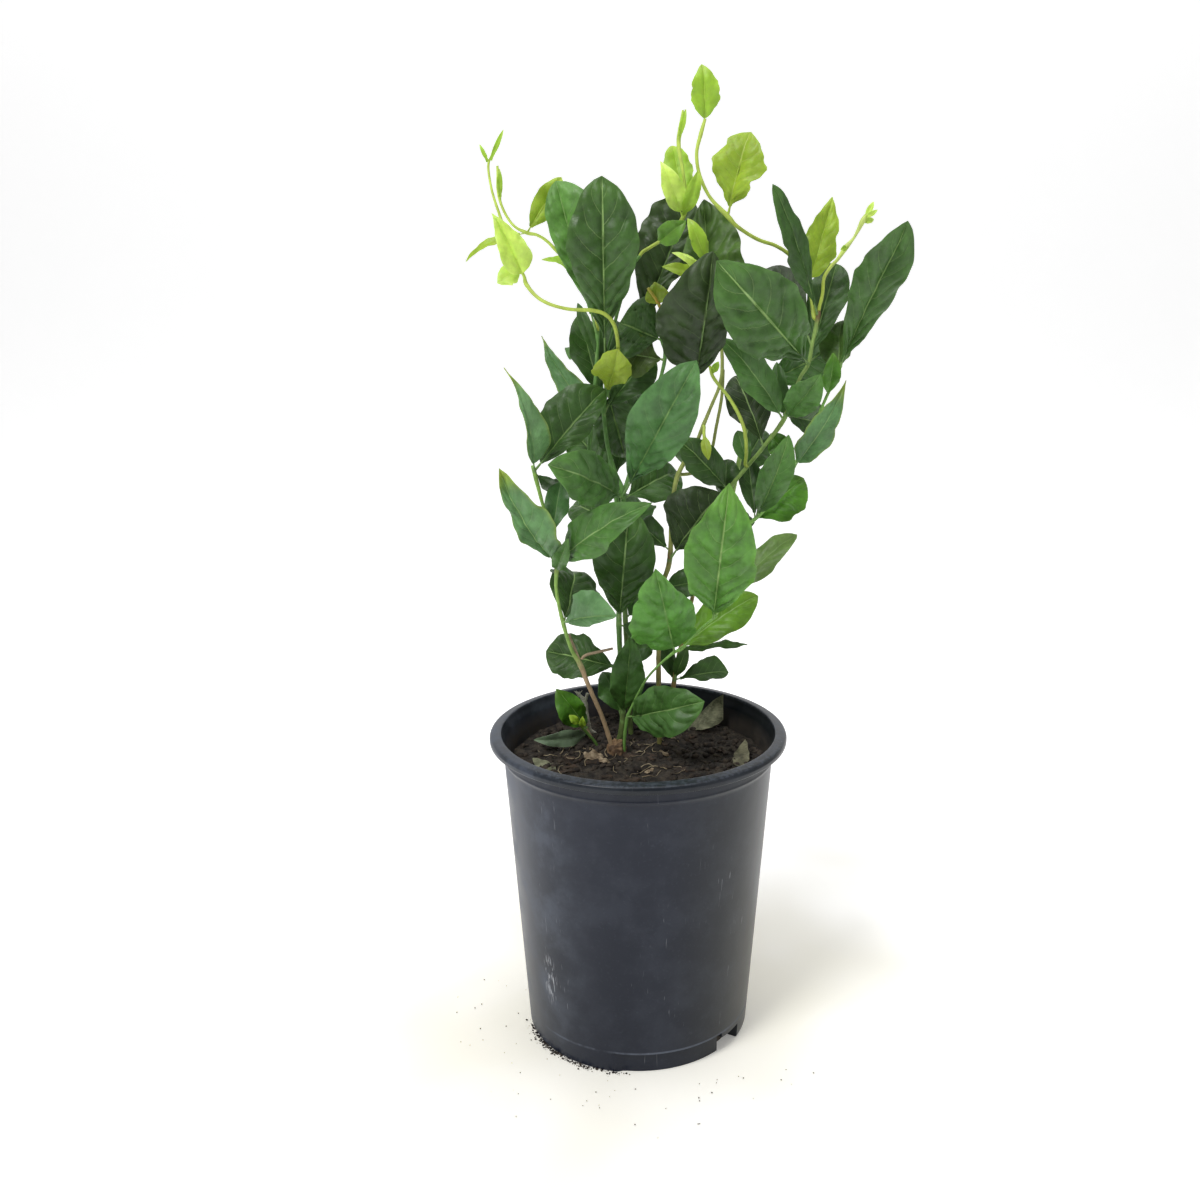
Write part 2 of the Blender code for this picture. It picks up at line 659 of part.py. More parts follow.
def back_left_stem():
    """A stem behind the middle, hidden from the front by the leaves before it."""
    main = rooted([
        (-4, 171, 38, 2.0), (-5, 190, 40, 1.8), (-6, 215, 44, 1.8), (-7, 240, 46, 2.1), (-8, 265, 46, 1.6),
        (-9, 290, 44, 2.0), (-13, 315, 42, 1.9), (-17, 345, 40, 1.4), (-20, 375, 38, 1.8), (-20, 400, 36, 1.3),
        (-22, 424, 34, 1.5), (-22.5, 427, 34, 1.1),
    ])
    return Spray(
        [main],
        [
            Leaf((-7, 240, 46), (-13, 285, 74), 27, roll=10),
            Leaf((-7, 240, 46), (10, 256, 82), 24, roll=-12),
            Leaf((-9, 290, 44), (-36, 304, 76), 24, roll=14),
            Leaf((-9, 290, 44), (3, 306, 84), 25, roll=-20),
            Leaf((-13, 315, 42), (-38, 346, 66), 25, roll=22),
            Leaf((-13, 315, 42), (0, 352, 76), 26, roll=-16),
            Leaf((-20, 375, 38), (-34, 388, 64), 19, roll=20),
            Leaf((-20, 375, 38), (0, 398, 70), 22, roll=-18),
            Leaf((-22, 424, 34), (-38, 458, 46), 22, roll=16),
            Leaf((-22, 424, 34), (-8, 458, 56), 21, roll=-14),
        ],
        rooted=True,
    )


def back_right_stem():
    """A stem behind the right half, hidden from the front by the leaves before it."""
    main = rooted([
        (12, 173, 42, 2.0), (11.5, 200, 43, 1.8), (12, 228, 45, 2.1), (20, 252, 47, 1.6), (32, 270, 48, 1.6),
        (43, 287, 46, 2.0), (49, 303, 44, 1.5), (52, 320, 42, 1.9), (57, 345, 40, 1.4), (62, 366, 38, 1.8),
        (64, 388, 36, 1.3), (66, 406, 34, 1.5), (66.5, 409, 34, 1.1),
    ])
    return Spray(
        [main],
        [
            Leaf((12, 228, 45), (21, 256, 70), 22, roll=14),
            Leaf((12, 226, 45), (-6, 226, 78), 21, roll=-14),
            Leaf((43, 287, 46), (56, 303, 78), 25, roll=16),
            Leaf((43, 287, 46), (30, 290, 84), 24, roll=-16),
            Leaf((52, 320, 42), (66, 344, 66), 22, roll=18),
            Leaf((52, 320, 42), (40, 314, 76), 20, roll=-16),
            Leaf((62, 366, 38), (80, 392, 62), 24, roll=16),
            Leaf((62, 366, 38), (52, 372, 74), 20, roll=-20),
            Leaf((66, 406, 34), (78, 420, 54), 17, roll=12),
            Leaf((66, 406, 34), (48, 424, 52), 20, roll=-12),
        ],
        rooted=True,
    )


def low_shoot():
    """The short shoot left of the crown, with two leaves near the mix."""
    main = rooted([(-26, 169.5, 30, 1.7), (-27.5, 173, 29, 1.6), (-29, 177, 28, 1.3)])
    return Spray(
        [main],
        [
            Leaf((-28.5, 175, 28.5), (-42, 199.5, 20), 16, roll=8),
            Leaf((-28, 174, 29), (-57, 169, 6), 11, roll=-15, arch=0.14),
            Leaf((-29, 177, 28), (-37, 189, 24), 9),
        ],
        rooted=True,
    )


def low_sprout():
    """The pale sprout in front of the low shoot."""
    main = rooted([(-23, 167, 22, 0.9), (-28, 173, 20, 0.9), (-33, 179, 17, 0.8)])
    return Spray(
        [main],
        [Leaf((-33, 179, 17), (-38, 184, 14), 5), Leaf((-31, 177, 18), (-31, 183, 14), 4)],
        rooted=True,
    )


def dry_twig():
    """The grey cut twig that forks at its top."""
    main = rooted([
        (-23, 171.5, 37, 1.3), (-27, 176, 36, 1.1), (-28.5, 185, 35, 1.0), (-29.5, 192, 34, 1.3), (-33, 196.5, 33, 0.9),
    ])
    fork = route([(-29.5, 192, 34, 1.0), (-28, 197, 34, 0.9)])
    return Spray([main, fork], [], rooted=True)


def left_low_vine(parent):
    """The pale vine that swings out to the left and climbs."""
    main = onward(parent, [
        (-12.5, 370, 10, 1.0), (-10.5, 378, 2, 1.0), (-10.5, 388, -9, 1.0), (-12.5, 397, -18, 1.0),
        (-17, 402, -22, 1.0), (-24, 404, -25, 1.0), (-35, 404.5, -26, 0.9), (-45, 407, -25, 0.9),
        (-52, 411, -22, 0.9),
        (-57, 417, -18, 1.1), (-58, 421, -18, 0.8), (-62, 428, -16, 0.7), (-66, 440, -15, 0.7),
        (-70, 452, -15, 0.7), (-73, 462, -14, 0.6), (-74.5, 472, -13, 0.6), (-74, 477, -13, 0.6),
    ])
    return Spray(
        [main],
        [
            Leaf((-12, 372, 8), (-9, 385, -10), 20, roll=25, petiole=0.04),
            Leaf((-58, 419, -18), (-73, 454, -23), 16, roll=12),
            Leaf((-57.5, 418, -18), (-72, 418, -22), 9, roll=20),
            Leaf((-74, 475, -13), (-78.5, 484, -13), 4),
            Leaf((-74, 475, -13), (-66.5, 491, -11), 5),
        ],
    )


def left_high_vine(parent):
    """The pale vine above it, with a closed bud at its tip."""
    main = onward(parent, [
        (-22.5, 403, 12, 1.0), (-25, 412, 13, 1.0), (-26, 417, 13, 1.0), (-30, 422, 12, 0.9), (-36, 428, 10, 0.9),
        (-41, 433, 8, 0.9), (-46, 438, 7, 0.8), (-51, 441, 6, 0.8), (-56, 442, 6, 1.0), (-62, 445, 6, 0.7),
        (-66, 450, 7, 0.7), (-69, 457, 8, 0.7), (-69.5, 463, 8, 1.3), (-70, 474, 8, 0.6),
    ])
    return Spray(
        [main],
        [
            Leaf((-56, 442, 6), (-38, 469, 12), 13),
            Leaf((-56, 442, 6), (-88, 429.5, 6), 9, roll=50),
            Leaf((-27, 418, 13), (-48, 430, 6), 9, roll=40),
            Leaf((-69.5, 462, 8), (-72.5, 469, 6), 4),
        ],
    )


def centre_shoot(parent):
    """The pale shoot that stands highest in the middle."""
    main = onward(parent, [
        (6, 435, 7, 0.9), (14, 440, 5, 0.9), (21, 447, 4, 1.1), (24, 455, 3, 1.1), (22.5, 470, 2, 0.8),
        (20, 485, 2, 1.1), (22, 500, 2, 0.6),
    ])
    return Spray(
        [main],
        [
            Leaf((10, 437.5, 6), (23.5, 447.5, -4), 14, petiole=0.04),
            Leaf((22, 450, 4), (11.5, 476, -2), 12, roll=14),
            Leaf((24, 455, 3), (12, 485, 18), 14, roll=14, petiole=0.16, arch=-0.02),
            Leaf((22, 449, 4), (30, 471, -5), 8, roll=20),
            Leaf((20, 486, 2), (25.5, 500, 0), 4),
        ],
    )


def inner_shoot(parent):
    """The small pale shoot inside the crown."""
    main = onward(parent, [(9, 409.5, 2, 0.9), (5, 415, 0, 0.8)])
    return Spray([main], [Leaf((10.5, 407, 3), (9.5, 421, 3), 13, petiole=0.04)])


def short_shoot(parent):
    """The pale tuft between the two large front leaves."""
    main = onward(parent, [(37, 419, -5, 0.9), (34.5, 426, -7, 0.9)])
    return Spray(
        [main],
        [
            Leaf((34.5, 426, -7), (25.5, 449, -10), 9, roll=20),
            Leaf((36, 422, -6), (23, 431, -13), 8, roll=-20),
            Leaf((36.5, 421, -5), (17.5, 433, -4), 9, roll=30),
            Leaf((37, 419, -5), (12.5, 426, -9), 8, roll=20),
        ],
    )


def top_vine(parent):
    """The pale vine that leans back from the right top to the middle top."""
    main = beside(parent, 16, [
        (88.5, 410, 10, 1.1), (86, 419, 11, 1.1), (78, 430, 9, 1.0), (70, 435.5, 6, 1.0), (60, 439, 3, 1.0),
        (50, 445, 0, 1.0), (45, 450, 0, 1.3), (36, 459, 1, 0.9), (30.5, 470, 2, 0.9), (29, 480, 2, 0.9),
        (31, 489, 2, 1.1), (33, 496, 2, 0.8),
    ])
    return Spray(
        [main],
        [
            Leaf((33, 495, 2), (31.5, 521, 0), 15, roll=16, petiole=0.05),
            Leaf((45, 450, 0), (55, 490, -4), 25, roll=-14, petiole=0.12),
            Leaf((87, 416, 10.5), (98, 460, 12), 18, roll=6),
        ],
    )


def right_vine(parent):
    """The pale vine at the right top, with bracts at its tip."""
    main = onward(parent, [
        (94, 412, 3, 0.9), (94.5, 420, 2, 0.9), (98, 426, 1, 0.9), (101, 429, 0, 0.9), (105, 435, -1, 1.3),
        (109, 440, -2, 0.7), (113, 448, -3, 1.4), (115, 451, -3, 1.0),
    ])
    return Spray(
        [main],
        [
            Leaf((114, 449, -3), (118, 457, -3), 4),
            Leaf((114, 449, -3), (120, 453, -5), 4),
            Leaf((113, 447, -3), (118.5, 448.5, -1), 4),
            Leaf((105, 435, -1), (102.5, 434, -5), 4),
        ],
    )


def twining_shoot(parent):
    """The pale shoot that twines across the two crossing tips."""
    main = beside(parent, 9, [
        (57, 331, 1, 1.0), (56.5, 338, -1, 1.0), (55, 345, -2, 1.0), (52, 352, -3, 1.0), (47, 360, -3, 0.9),
        (42, 366, -3, 0.9), (38.5, 371, -3, 0.9), (37, 376, -3, 0.7),
    ])
    return Spray([main], [Leaf((38, 372, -3), (41.5, 378, -5), 4)])


def hanging_sprout(parent):
    """The small pale leaf that hangs from the middle stem."""
    main = beside(parent, 9, [(34.5, 341, -1, 0.9), (35, 337, -2, 0.9)])
    return Spray([main], [Leaf((34.7, 339.5, -1.3), (36, 315, -9), 8, petiole=0.05)])


def dry_leaf(name, middle, length, width, turn, lift, parts):
    """A dead leaf draped over the mix, with its tip lifted. The turn of its length is in radians from +X."""
    grid = bmesh.new()
    bmesh.ops.create_grid(grid, x_segments=2, y_segments=SHORT_ROWS, size=1.0)
    for corner in grid.verts:
        t = (corner.co.y + 1) / 2
        v = corner.co.x
        half = max(TIP_HALF, width / 2 * outline(min(0.98, max(0.02, t))))
        run = (t - 0.5) * length
        x = middle[0] + run * math.cos(turn) - half * v * math.sin(turn)
        y = middle[1] + run * math.sin(turn) + half * v * math.cos(turn)
        z = soil_height(x, y) + BLADE / 2 + GAP + lift * t ** 2 + DRY_CURL * half * v * v
        corner.co = Vector((x, y, z)) * MM
    bmesh.ops.triangulate(grid, faces=grid.faces[:])
    mesh = bpy.data.meshes.new(name)
    grid.to_mesh(mesh)
    grid.free()
    leaf_object = bpy.data.objects.new(name, mesh)
    solid = leaf_object.modifiers.new("Blade", "SOLIDIFY")
    solid.thickness = BLADE * MM
    solid.offset = 0.0
    mesh.materials.append(material(name, DRY_COLOUR, 0.8))
    parts.objects.link(leaf_object)


def main():
    """Builds the whole part."""
    for old in list(bpy.data.objects):
        bpy.data.objects.remove(old)
    parts = bpy.data.collections.new("potted_jasmine")
    cutters = bpy.data.collections.new("cutters")
    bpy.context.scene.collection.children.link(parts)
    bpy.context.scene.collection.children.link(cutters)

    centre = centre_stem()
    middle = middle_stem()
    right = right_stem()
    mature = {
        "front_left_stem": front_left_stem(),
        "centre_stem": centre,
        "middle_stem": middle,
        "front_right_stem": front_right_stem(),
        "right_stem": right,
        "far_right_stem": far_right_stem(right.routes[0]),
        "back_left_stem": back_left_stem(),
        "back_right_stem": back_right_stem(),
        "low_shoot": low_shoot(),
    }
    young = {
        "low_sprout": low_sprout(),
        "left_low_vine": left_low_vine(centre.routes[0]),
        "left_high_vine": left_high_vine(centre.routes[1]),
        "centre_shoot": centre_shoot(centre.routes[4]),
        "inner_shoot": inner_shoot(centre.routes[2]),
        "short_shoot": short_shoot(middle.routes[0]),
        "top_vine": top_vine(right.routes[0]),
        "right_vine": right_vine(right.routes[0]),
        "twining_shoot": twining_shoot(right.routes[0]),
        "hanging_sprout": hanging_sprout(middle.routes[0]),
    }
    dry = {"dry_twig": dry_twig()}

    build_pot(parts, cutters)
    build_soil(parts, cutters, {**mature, **young, **dry})
    for group, colour, roughness in (
        (mature, LEAF_COLOUR, 0.45),
        (young, SHOOT_COLOUR, 0.5),
        (dry, DRY_COLOUR, 0.8),
    ):
        for name, spray in group.items():
            build_spray(name, spray, material(name, colour, roughness), parts)
    dry_leaf("dry_leaf_right", (39.0, 40.0), 26.0, 15.0, 0.35, 20.0, parts)
    dry_leaf("dry_leaf_wall", (57.5, -5.0), 22.0, 11.0, 1.3, 9.0, parts)
    dry_leaf("dry_leaf_left", (-52.0, -14.0), 16.0, 9.0, 2.5, 3.0, parts)


main()
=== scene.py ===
"""Looks of a potted jasmine: a nursery pot, its potting mix, leafy stems, pale young shoots and dry litter.

Everything is in metres in the model's frame: +Z up, origin at the middle of the pot's base, seen from -Y.
Plant points are given as they are seen from a fixed eye in front of the pot: x and z on the middle plane
(y = 0) and a depth behind that plane, all in millimetres. at() turns them into places in space.
"""

import logging
import math
import random
from dataclasses import dataclass, field
from enum import Enum
from typing import Any, Callable, Iterable, Sequence

import bmesh
import bpy
import numpy as np
from mathutils import Matrix, Vector, kdtree, noise


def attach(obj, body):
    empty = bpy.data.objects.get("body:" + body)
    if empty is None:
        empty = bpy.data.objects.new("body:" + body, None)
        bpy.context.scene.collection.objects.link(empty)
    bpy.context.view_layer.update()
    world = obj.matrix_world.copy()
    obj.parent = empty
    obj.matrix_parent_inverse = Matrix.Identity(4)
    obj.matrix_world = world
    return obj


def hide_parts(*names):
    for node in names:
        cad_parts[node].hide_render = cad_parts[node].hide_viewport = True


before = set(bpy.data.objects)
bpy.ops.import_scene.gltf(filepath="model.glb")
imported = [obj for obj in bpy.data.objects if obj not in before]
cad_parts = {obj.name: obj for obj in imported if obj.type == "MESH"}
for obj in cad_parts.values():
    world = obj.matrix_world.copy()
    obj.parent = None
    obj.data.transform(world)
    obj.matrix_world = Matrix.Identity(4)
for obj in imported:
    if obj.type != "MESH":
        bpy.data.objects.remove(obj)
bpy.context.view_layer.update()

log = logging.getLogger("potted_jasmine")

Piece = bpy.types.Object
Finish = bpy.types.Material
Finishes = dict[str, Finish]
Array = np.ndarray
Point = tuple[float, float, float]
Spot = tuple[float, float, float, float]
Line = list[tuple[Vector, float]]
Tube = tuple[Array, Array]

# Sizes in millimetres, the same as the solids have
MM = 0.001
EYE = Vector((0.0, -656.0, 426.0))
SOIL_LEVEL = 157.0
SOIL_LUMP = 1.1
SOIL_RISE = 1.5
WALL_TOP_RADIUS = 75.6
ROOT_DEPTH = 12.0
GAP = 0.3
YOUNG_SEAT = 0.7

# Names that meshes, attributes and the frame share
TINT = "tint"
ROOT_BODY = "root"


class Slot(Enum):
    """The record's material slots."""

    POT = "pot_plastic"
    MIX = "potting_mix"
    MATURE = "mature_leaf"
    YOUNG = "young_leaf"
    DRY = "dry_plant"


class Tone(Enum):
    """Blade colours, as sRGB hex: the blade, and what it turns to at its tip and margin."""

    DEEP = ("#32471f", "#3a5024")
    DARK = ("#3d6026", "#486c2c")
    OLIVE = ("#526a28", "#5e7830")
    MOSS = ("#4e6f2a", "#587a30")
    MID = ("#4c7734", "#568239")
    DUSKY = ("#416729", "#4c7430")
    LIGHT = ("#60923e", "#699c46")
    GREY = ("#4c783f", "#568446")
    SILVER = ("#5c8652", "#67915a")
    SAGE = ("#6c8c46", "#76964c")
    DUSTY = ("#72876a", "#7c9272")
    GREY_LIME_TIP = ("#5e8b52", "#8fa63a")
    SILVER_LIME_TIP = ("#76a468", "#98ac40")
    BRIGHT = ("#5a933a", "#689f42")
    BRIGHTEST = ("#578b35", "#6b9e3e")
    YELLOW_GREEN = ("#629022", "#76a02a")
    FRESH = ("#518822", "#639528")
    LEAF_LIME = ("#8fa92e", "#9cb638")
    LIME = ("#98bd36", "#acca4a")
    PALE_LIME = ("#bfdc5e", "#cde97c")
    OLIVE_LIME = ("#8fa432", "#9bb03a")
    ROUND_GREEN = ("#669334", "#74a03e")


class Bark(Enum):
    """Stem colours, as sRGB hex: below the change and above it."""

    WOOD_TO_GREEN = ("#b39a78", "#86ab52")
    CROWN_TO_GREEN = ("#64773f", "#5f8a45")
    OLIVE = ("#8d8a50", "#96a058")
    GREEN = ("#6f9c4b", "#7cab54")
    STRAW = ("#8b7a4a", "#83a052")
    DRY = ("#8d7a63", "#9a876c")
    YOUNG = ("#a5b84a", "#b9cf5c")
    YOUNG_PALE = ("#b4c650", "#cfe27c")
    ORANGE = ("#c59a3c", "#b8b04a")
    LOW = ("#587a38", "#6d9440")


def linear(code: str) -> tuple[float, float, float]:
    """Turns an sRGB hex colour into linear red, green and blue.

    Args:
        code: The colour as "#rrggbb".

    Returns:
        The three linear values.
    """
    parts = [int(code[i : i + 2], 16) / 255 for i in (1, 3, 5)]
    return tuple(c / 12.92 if c <= 0.04045 else ((c + 0.055) / 1.055) ** 2.4 for c in parts)


def rgba(code: str) -> tuple[float, float, float, float]:
    """The linear colour of an sRGB hex, with full alpha."""
    return (*linear(code), 1.0)


def smooth(low: float, high: float, value: Any) -> Any:
    """A smooth step from 0 at low to 1 at high, for a number or an array."""
    t = np.clip((value - low) / (high - low), 0.0, 1.0)
    return t * t * (3 - 2 * t)


def at(x: float, z: float, depth: float) -> Vector:
    """The place that is seen at x, z on the middle plane and lies this far behind it, in millimetres."""
    reach = (depth - EYE.y) / -EYE.y
    return EYE + (Vector((x, 0.0, z)) - EYE) * reach


def soil_height(x: float, y: float) -> float:
    """The height of the mix's surface in millimetres, as the solid has it."""
    lumps = math.sin(x * 0.19 + 1.1) * math.cos(y * 0.16 - 0.4) + 0.6 * math.sin(x * 0.11 - y * 0.23)
    return SOIL_LEVEL + SOIL_LUMP * lumps + SOIL_RISE * ((x * x + y * y) / WALL_TOP_RADIUS**2) ** 2


# Scene tools


def deselect() -> None:
    """Leaves edit mode and clears the selection."""
    if bpy.context.object and bpy.context.object.mode != "OBJECT":
        bpy.ops.object.mode_set(mode="OBJECT")
    bpy.ops.object.select_all(action="DESELECT")


def pick(*objects: Piece) -> None:
    """Selects only these objects, with the first one active."""
    deselect()
    for each in objects:
        each.select_set(True)
    bpy.context.view_layer.objects.active = objects[0]


def join(name: str, objects: Sequence[Piece]) -> Piece:
    """Joins objects into the first, and names it and its mesh."""
    pick(*objects)
    if len(objects) > 1:
        bpy.ops.object.join()
    joined = bpy.context.view_layer.objects.active
    joined.name = name
    joined.data.name = name
    return joined


def apply_modifier(target: Piece, kind: str, **settings: Any) -> None:
    """Adds a modifier to an object with its settings and applies it."""
    pick(target)
    modifier = target.modifiers.new(kind.title(), kind)
    for key, value in settings.items():
        setattr(modifier, key, value)
    bpy.ops.object.modifier_apply(modifier=modifier.name)


def in_edit_mode(target: Piece, *steps: Callable[[], Any]) -> None:
    """Runs operators on the whole mesh of an object in edit mode."""
    pick(target)
    bpy.ops.object.mode_set(mode="EDIT")
    bpy.ops.mesh.select_all(action="SELECT")
    for step in steps:
        step()
    bpy.ops.object.mode_set(mode="OBJECT")


def mend(target: Piece) -> None:
    """Merges doubles and turns all faces outwards."""
    in_edit_mode(
        target,
        lambda: bpy.ops.mesh.remove_doubles(threshold=1e-6),
        lambda: bpy.ops.mesh.normals_make_consistent(inside=False),
    )


def shade(target: Piece, degrees: float) -> None:
    """Shades a piece smooth, with edges sharper than the angle kept."""
    pick(target)
    bpy.ops.object.shade_smooth_by_angle(angle=math.radians(degrees))


def dress(target: Piece, finish: Finish, degrees: float = 60.0) -> Piece:
    """Gives a piece its finish and smooth shading, and returns it."""
    target.data.materials.append(finish)
    shade(target, degrees)
    return target


def places(mesh: bpy.types.Mesh) -> Array:
    """The mesh's vertices in millimetres, one row each."""
    flat = np.empty(len(mesh.vertices) * 3)
    mesh.vertices.foreach_get("co", flat)
    return flat.reshape(-1, 3) / MM


def set_places(mesh: bpy.types.Mesh, points: Array) -> None:
    """Moves the mesh's vertices to places in millimetres."""
    mesh.vertices.foreach_set("co", (points * MM).ravel())
    mesh.update()


def normals_of(mesh: bpy.types.Mesh) -> Array:
    """The mesh's vertex normals, one row each."""
    flat = np.empty(len(mesh.vertices) * 3)
    mesh.vertex_normals.foreach_get("vector", flat)
    return flat.reshape(-1, 3)


def set_tint(mesh: bpy.types.Mesh, colours: Array, veins: float = 1.0) -> None:
    """Stores a linear colour a vertex, and how clear the veins are, in the attribute that materials read."""
    attribute = mesh.attributes.get(TINT) or mesh.attributes.new(TINT, "FLOAT_COLOR", "POINT")
    full = np.full((len(mesh.vertices), 4), veins)
    full[:, :3] = colours
    attribute.data.foreach_set("color", full.ravel())


def noise_of(points: Array, size: float, seed: float = 0.0) -> Array:
    """Smooth noise from -1 to 1 at each point, with lumps of about that size in millimetres."""
    shift = Vector((seed * 17.3, seed * 5.1, seed * 9.7))
    return np.array([noise.noise(Vector(p) / size + shift) for p in points])


def place_piece(piece: Piece, slot: Slot, *nodes: str) -> Piece:
    """Makes a finished piece ride on the part's body and stand for its CAD nodes."""
    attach(piece, ROOT_BODY)
    if nodes:
        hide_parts(*nodes)
    return piece


# Materials


def add_node(tree: bpy.types.NodeTree, kind: str, inputs: dict | None = None, **settings: Any) -> Any:
    """Adds a node with its settings, and its inputs as values or links.

    Args:
        tree: The material's node tree.
        kind: The node's type, without the leading "ShaderNode".
        inputs: A value or an output socket for each input, by name or number.
        **settings: The node's own settings.

    Returns:
        The new node.
    """
    node = tree.nodes.new("ShaderNode" + kind)
    for key, value in settings.items():
        setattr(node, key, value)
    for key, value in (inputs or {}).items():
        if isinstance(value, bpy.types.NodeSocket):
            tree.links.new(value, node.inputs[key])
        else:
            node.inputs[key].default_value = value
    return node


# Input and output numbers of a Mix node that mixes colours
MIX_A, MIX_B, MIX_OUT = 6, 7, 2


class Surface:
    """A material under construction: its tree, its shader and shared shorthand for patterns."""

    def __init__(self, name: str) -> None:
        """Starts an empty material with a Principled shader."""
        self.material = bpy.data.materials.new(name)
        self.material.use_nodes = True
        self.tree = self.material.node_tree
        self.shader = self.tree.nodes["Principled BSDF"]
        self.position = add_node(self.tree, "TexCoord").outputs["Object"]

    def math(self, operation: str, first: Any, second: Any = 0.0, clamp: bool = False) -> Any:
        """The result of one sum on numbers or sockets."""
        inputs = {0: first, 1: second}
        return add_node(self.tree, "Math", inputs, operation=operation, use_clamp=clamp).outputs[0]

    def times(self, *factors: Any) -> Any:
        """The product of numbers or sockets."""
        product = factors[0]
        for factor in factors[1:]:
            product = self.math("MULTIPLY", product, factor)
        return product

    def plus(self, first: Any, second: Any, clamp: bool = False) -> Any:
        """The sum of two numbers or sockets."""
        return self.math("ADD", first, second, clamp)

    def minus(self, first: Any, second: Any) -> Any:
        """The first number or socket less the second."""
        return self.math("SUBTRACT", first, second)

    def most(self, first: Any, second: Any) -> Any:
        """The larger of two numbers or sockets."""
        return self.math("MAXIMUM", first, second)

    def apart(self, first: Any, second: Any) -> Any:
        """How far two values lie from each other."""
        return self.math("ABSOLUTE", self.minus(first, second))

    def band(self, value: Any, low: float, high: float, start: float = 0.0, end: float = 1.0) -> Any:
        """A value mapped smoothly from low..high to start..end."""
        inputs = {"Value": value, "From Min": low, "From Max": high, "To Min": start, "To Max": end}
        return add_node(self.tree, "MapRange", inputs, interpolation_type="SMOOTHSTEP").outputs["Result"]

    def grain(self, size_mm: float, detail: float = 2.0, vector: Any = None, roughness: float = 0.5) -> Any:
        """Noise whose lumps are about that many millimetres across."""
        inputs = {
            "Vector": vector or self.position,
            "Scale": 1 / (size_mm * MM),
            "Detail": detail,
            "Roughness": roughness,
        }
        return add_node(self.tree, "TexNoise", inputs).outputs["Fac"]

    def stretched(self, x: float, y: float, z: float) -> Any:
        """The object's coordinates, squeezed so that a pattern is drawn out along an axis."""
        return add_node(self.tree, "Mapping", {"Vector": self.position, "Scale": (x, y, z)}).outputs[0]

    def length(self, vector: Any) -> Any:
        """A vector's length."""
        return add_node(self.tree, "VectorMath", {0: vector}, operation="LENGTH").outputs["Value"]

    def axes(self) -> Sequence[Any]:
        """The object's coordinates one by one."""
        return add_node(self.tree, "SeparateXYZ", {0: self.position}).outputs

    def tint(self) -> Any:
        """What the mesh stores a vertex: its colour, and how clear its veins are as alpha."""
        return add_node(self.tree, "Attribute", attribute_name=TINT).outputs

    def blend(self, share: Any, first: Any, second: Any, mode: str = "MIX") -> Any:
        """Two colours mixed by a share."""
        inputs = {0: share, MIX_A: first, MIX_B: second}
        return add_node(self.tree, "Mix", inputs, data_type="RGBA", blend_type=mode).outputs[MIX_OUT]

    def shaded(self, colour: Any, level: Any) -> Any:
        """A colour made lighter or darker by a level."""
        grey = add_node(self.tree, "CombineColor", {0: level, 1: level, 2: level}).outputs[0]
        return self.blend(1.0, colour, grey, "MULTIPLY")

    def bump(self, height: Any, millimetres: float, strength: float = 1.0, under: Any = None) -> Any:
        """A bump of that height in millimetres."""
        inputs = {"Height": height, "Distance": millimetres * MM, "Strength": strength}
        if under is not None:
            inputs["Normal"] = under
        return add_node(self.tree, "Bump", inputs).outputs[0]

    def finish(self, **sockets: Any) -> Finish:
        """Sets or links the shader's sockets, named with underscores for spaces, and returns the material."""
        for key, value in sockets.items():
            socket = self.shader.inputs[key.replace("_", " ")]
            if isinstance(value, bpy.types.NodeSocket):
                self.tree.links.new(value, socket)
            else:
                socket.default_value = value
        return self.material


# How the side veins run: their number, lean and bend towards the tip, and how far one side lags the other
VEIN_COUNT = 7.0
VEIN_SWEEP = 0.20
VEIN_BEND = 0.08
VEIN_SHIFT = 0.055


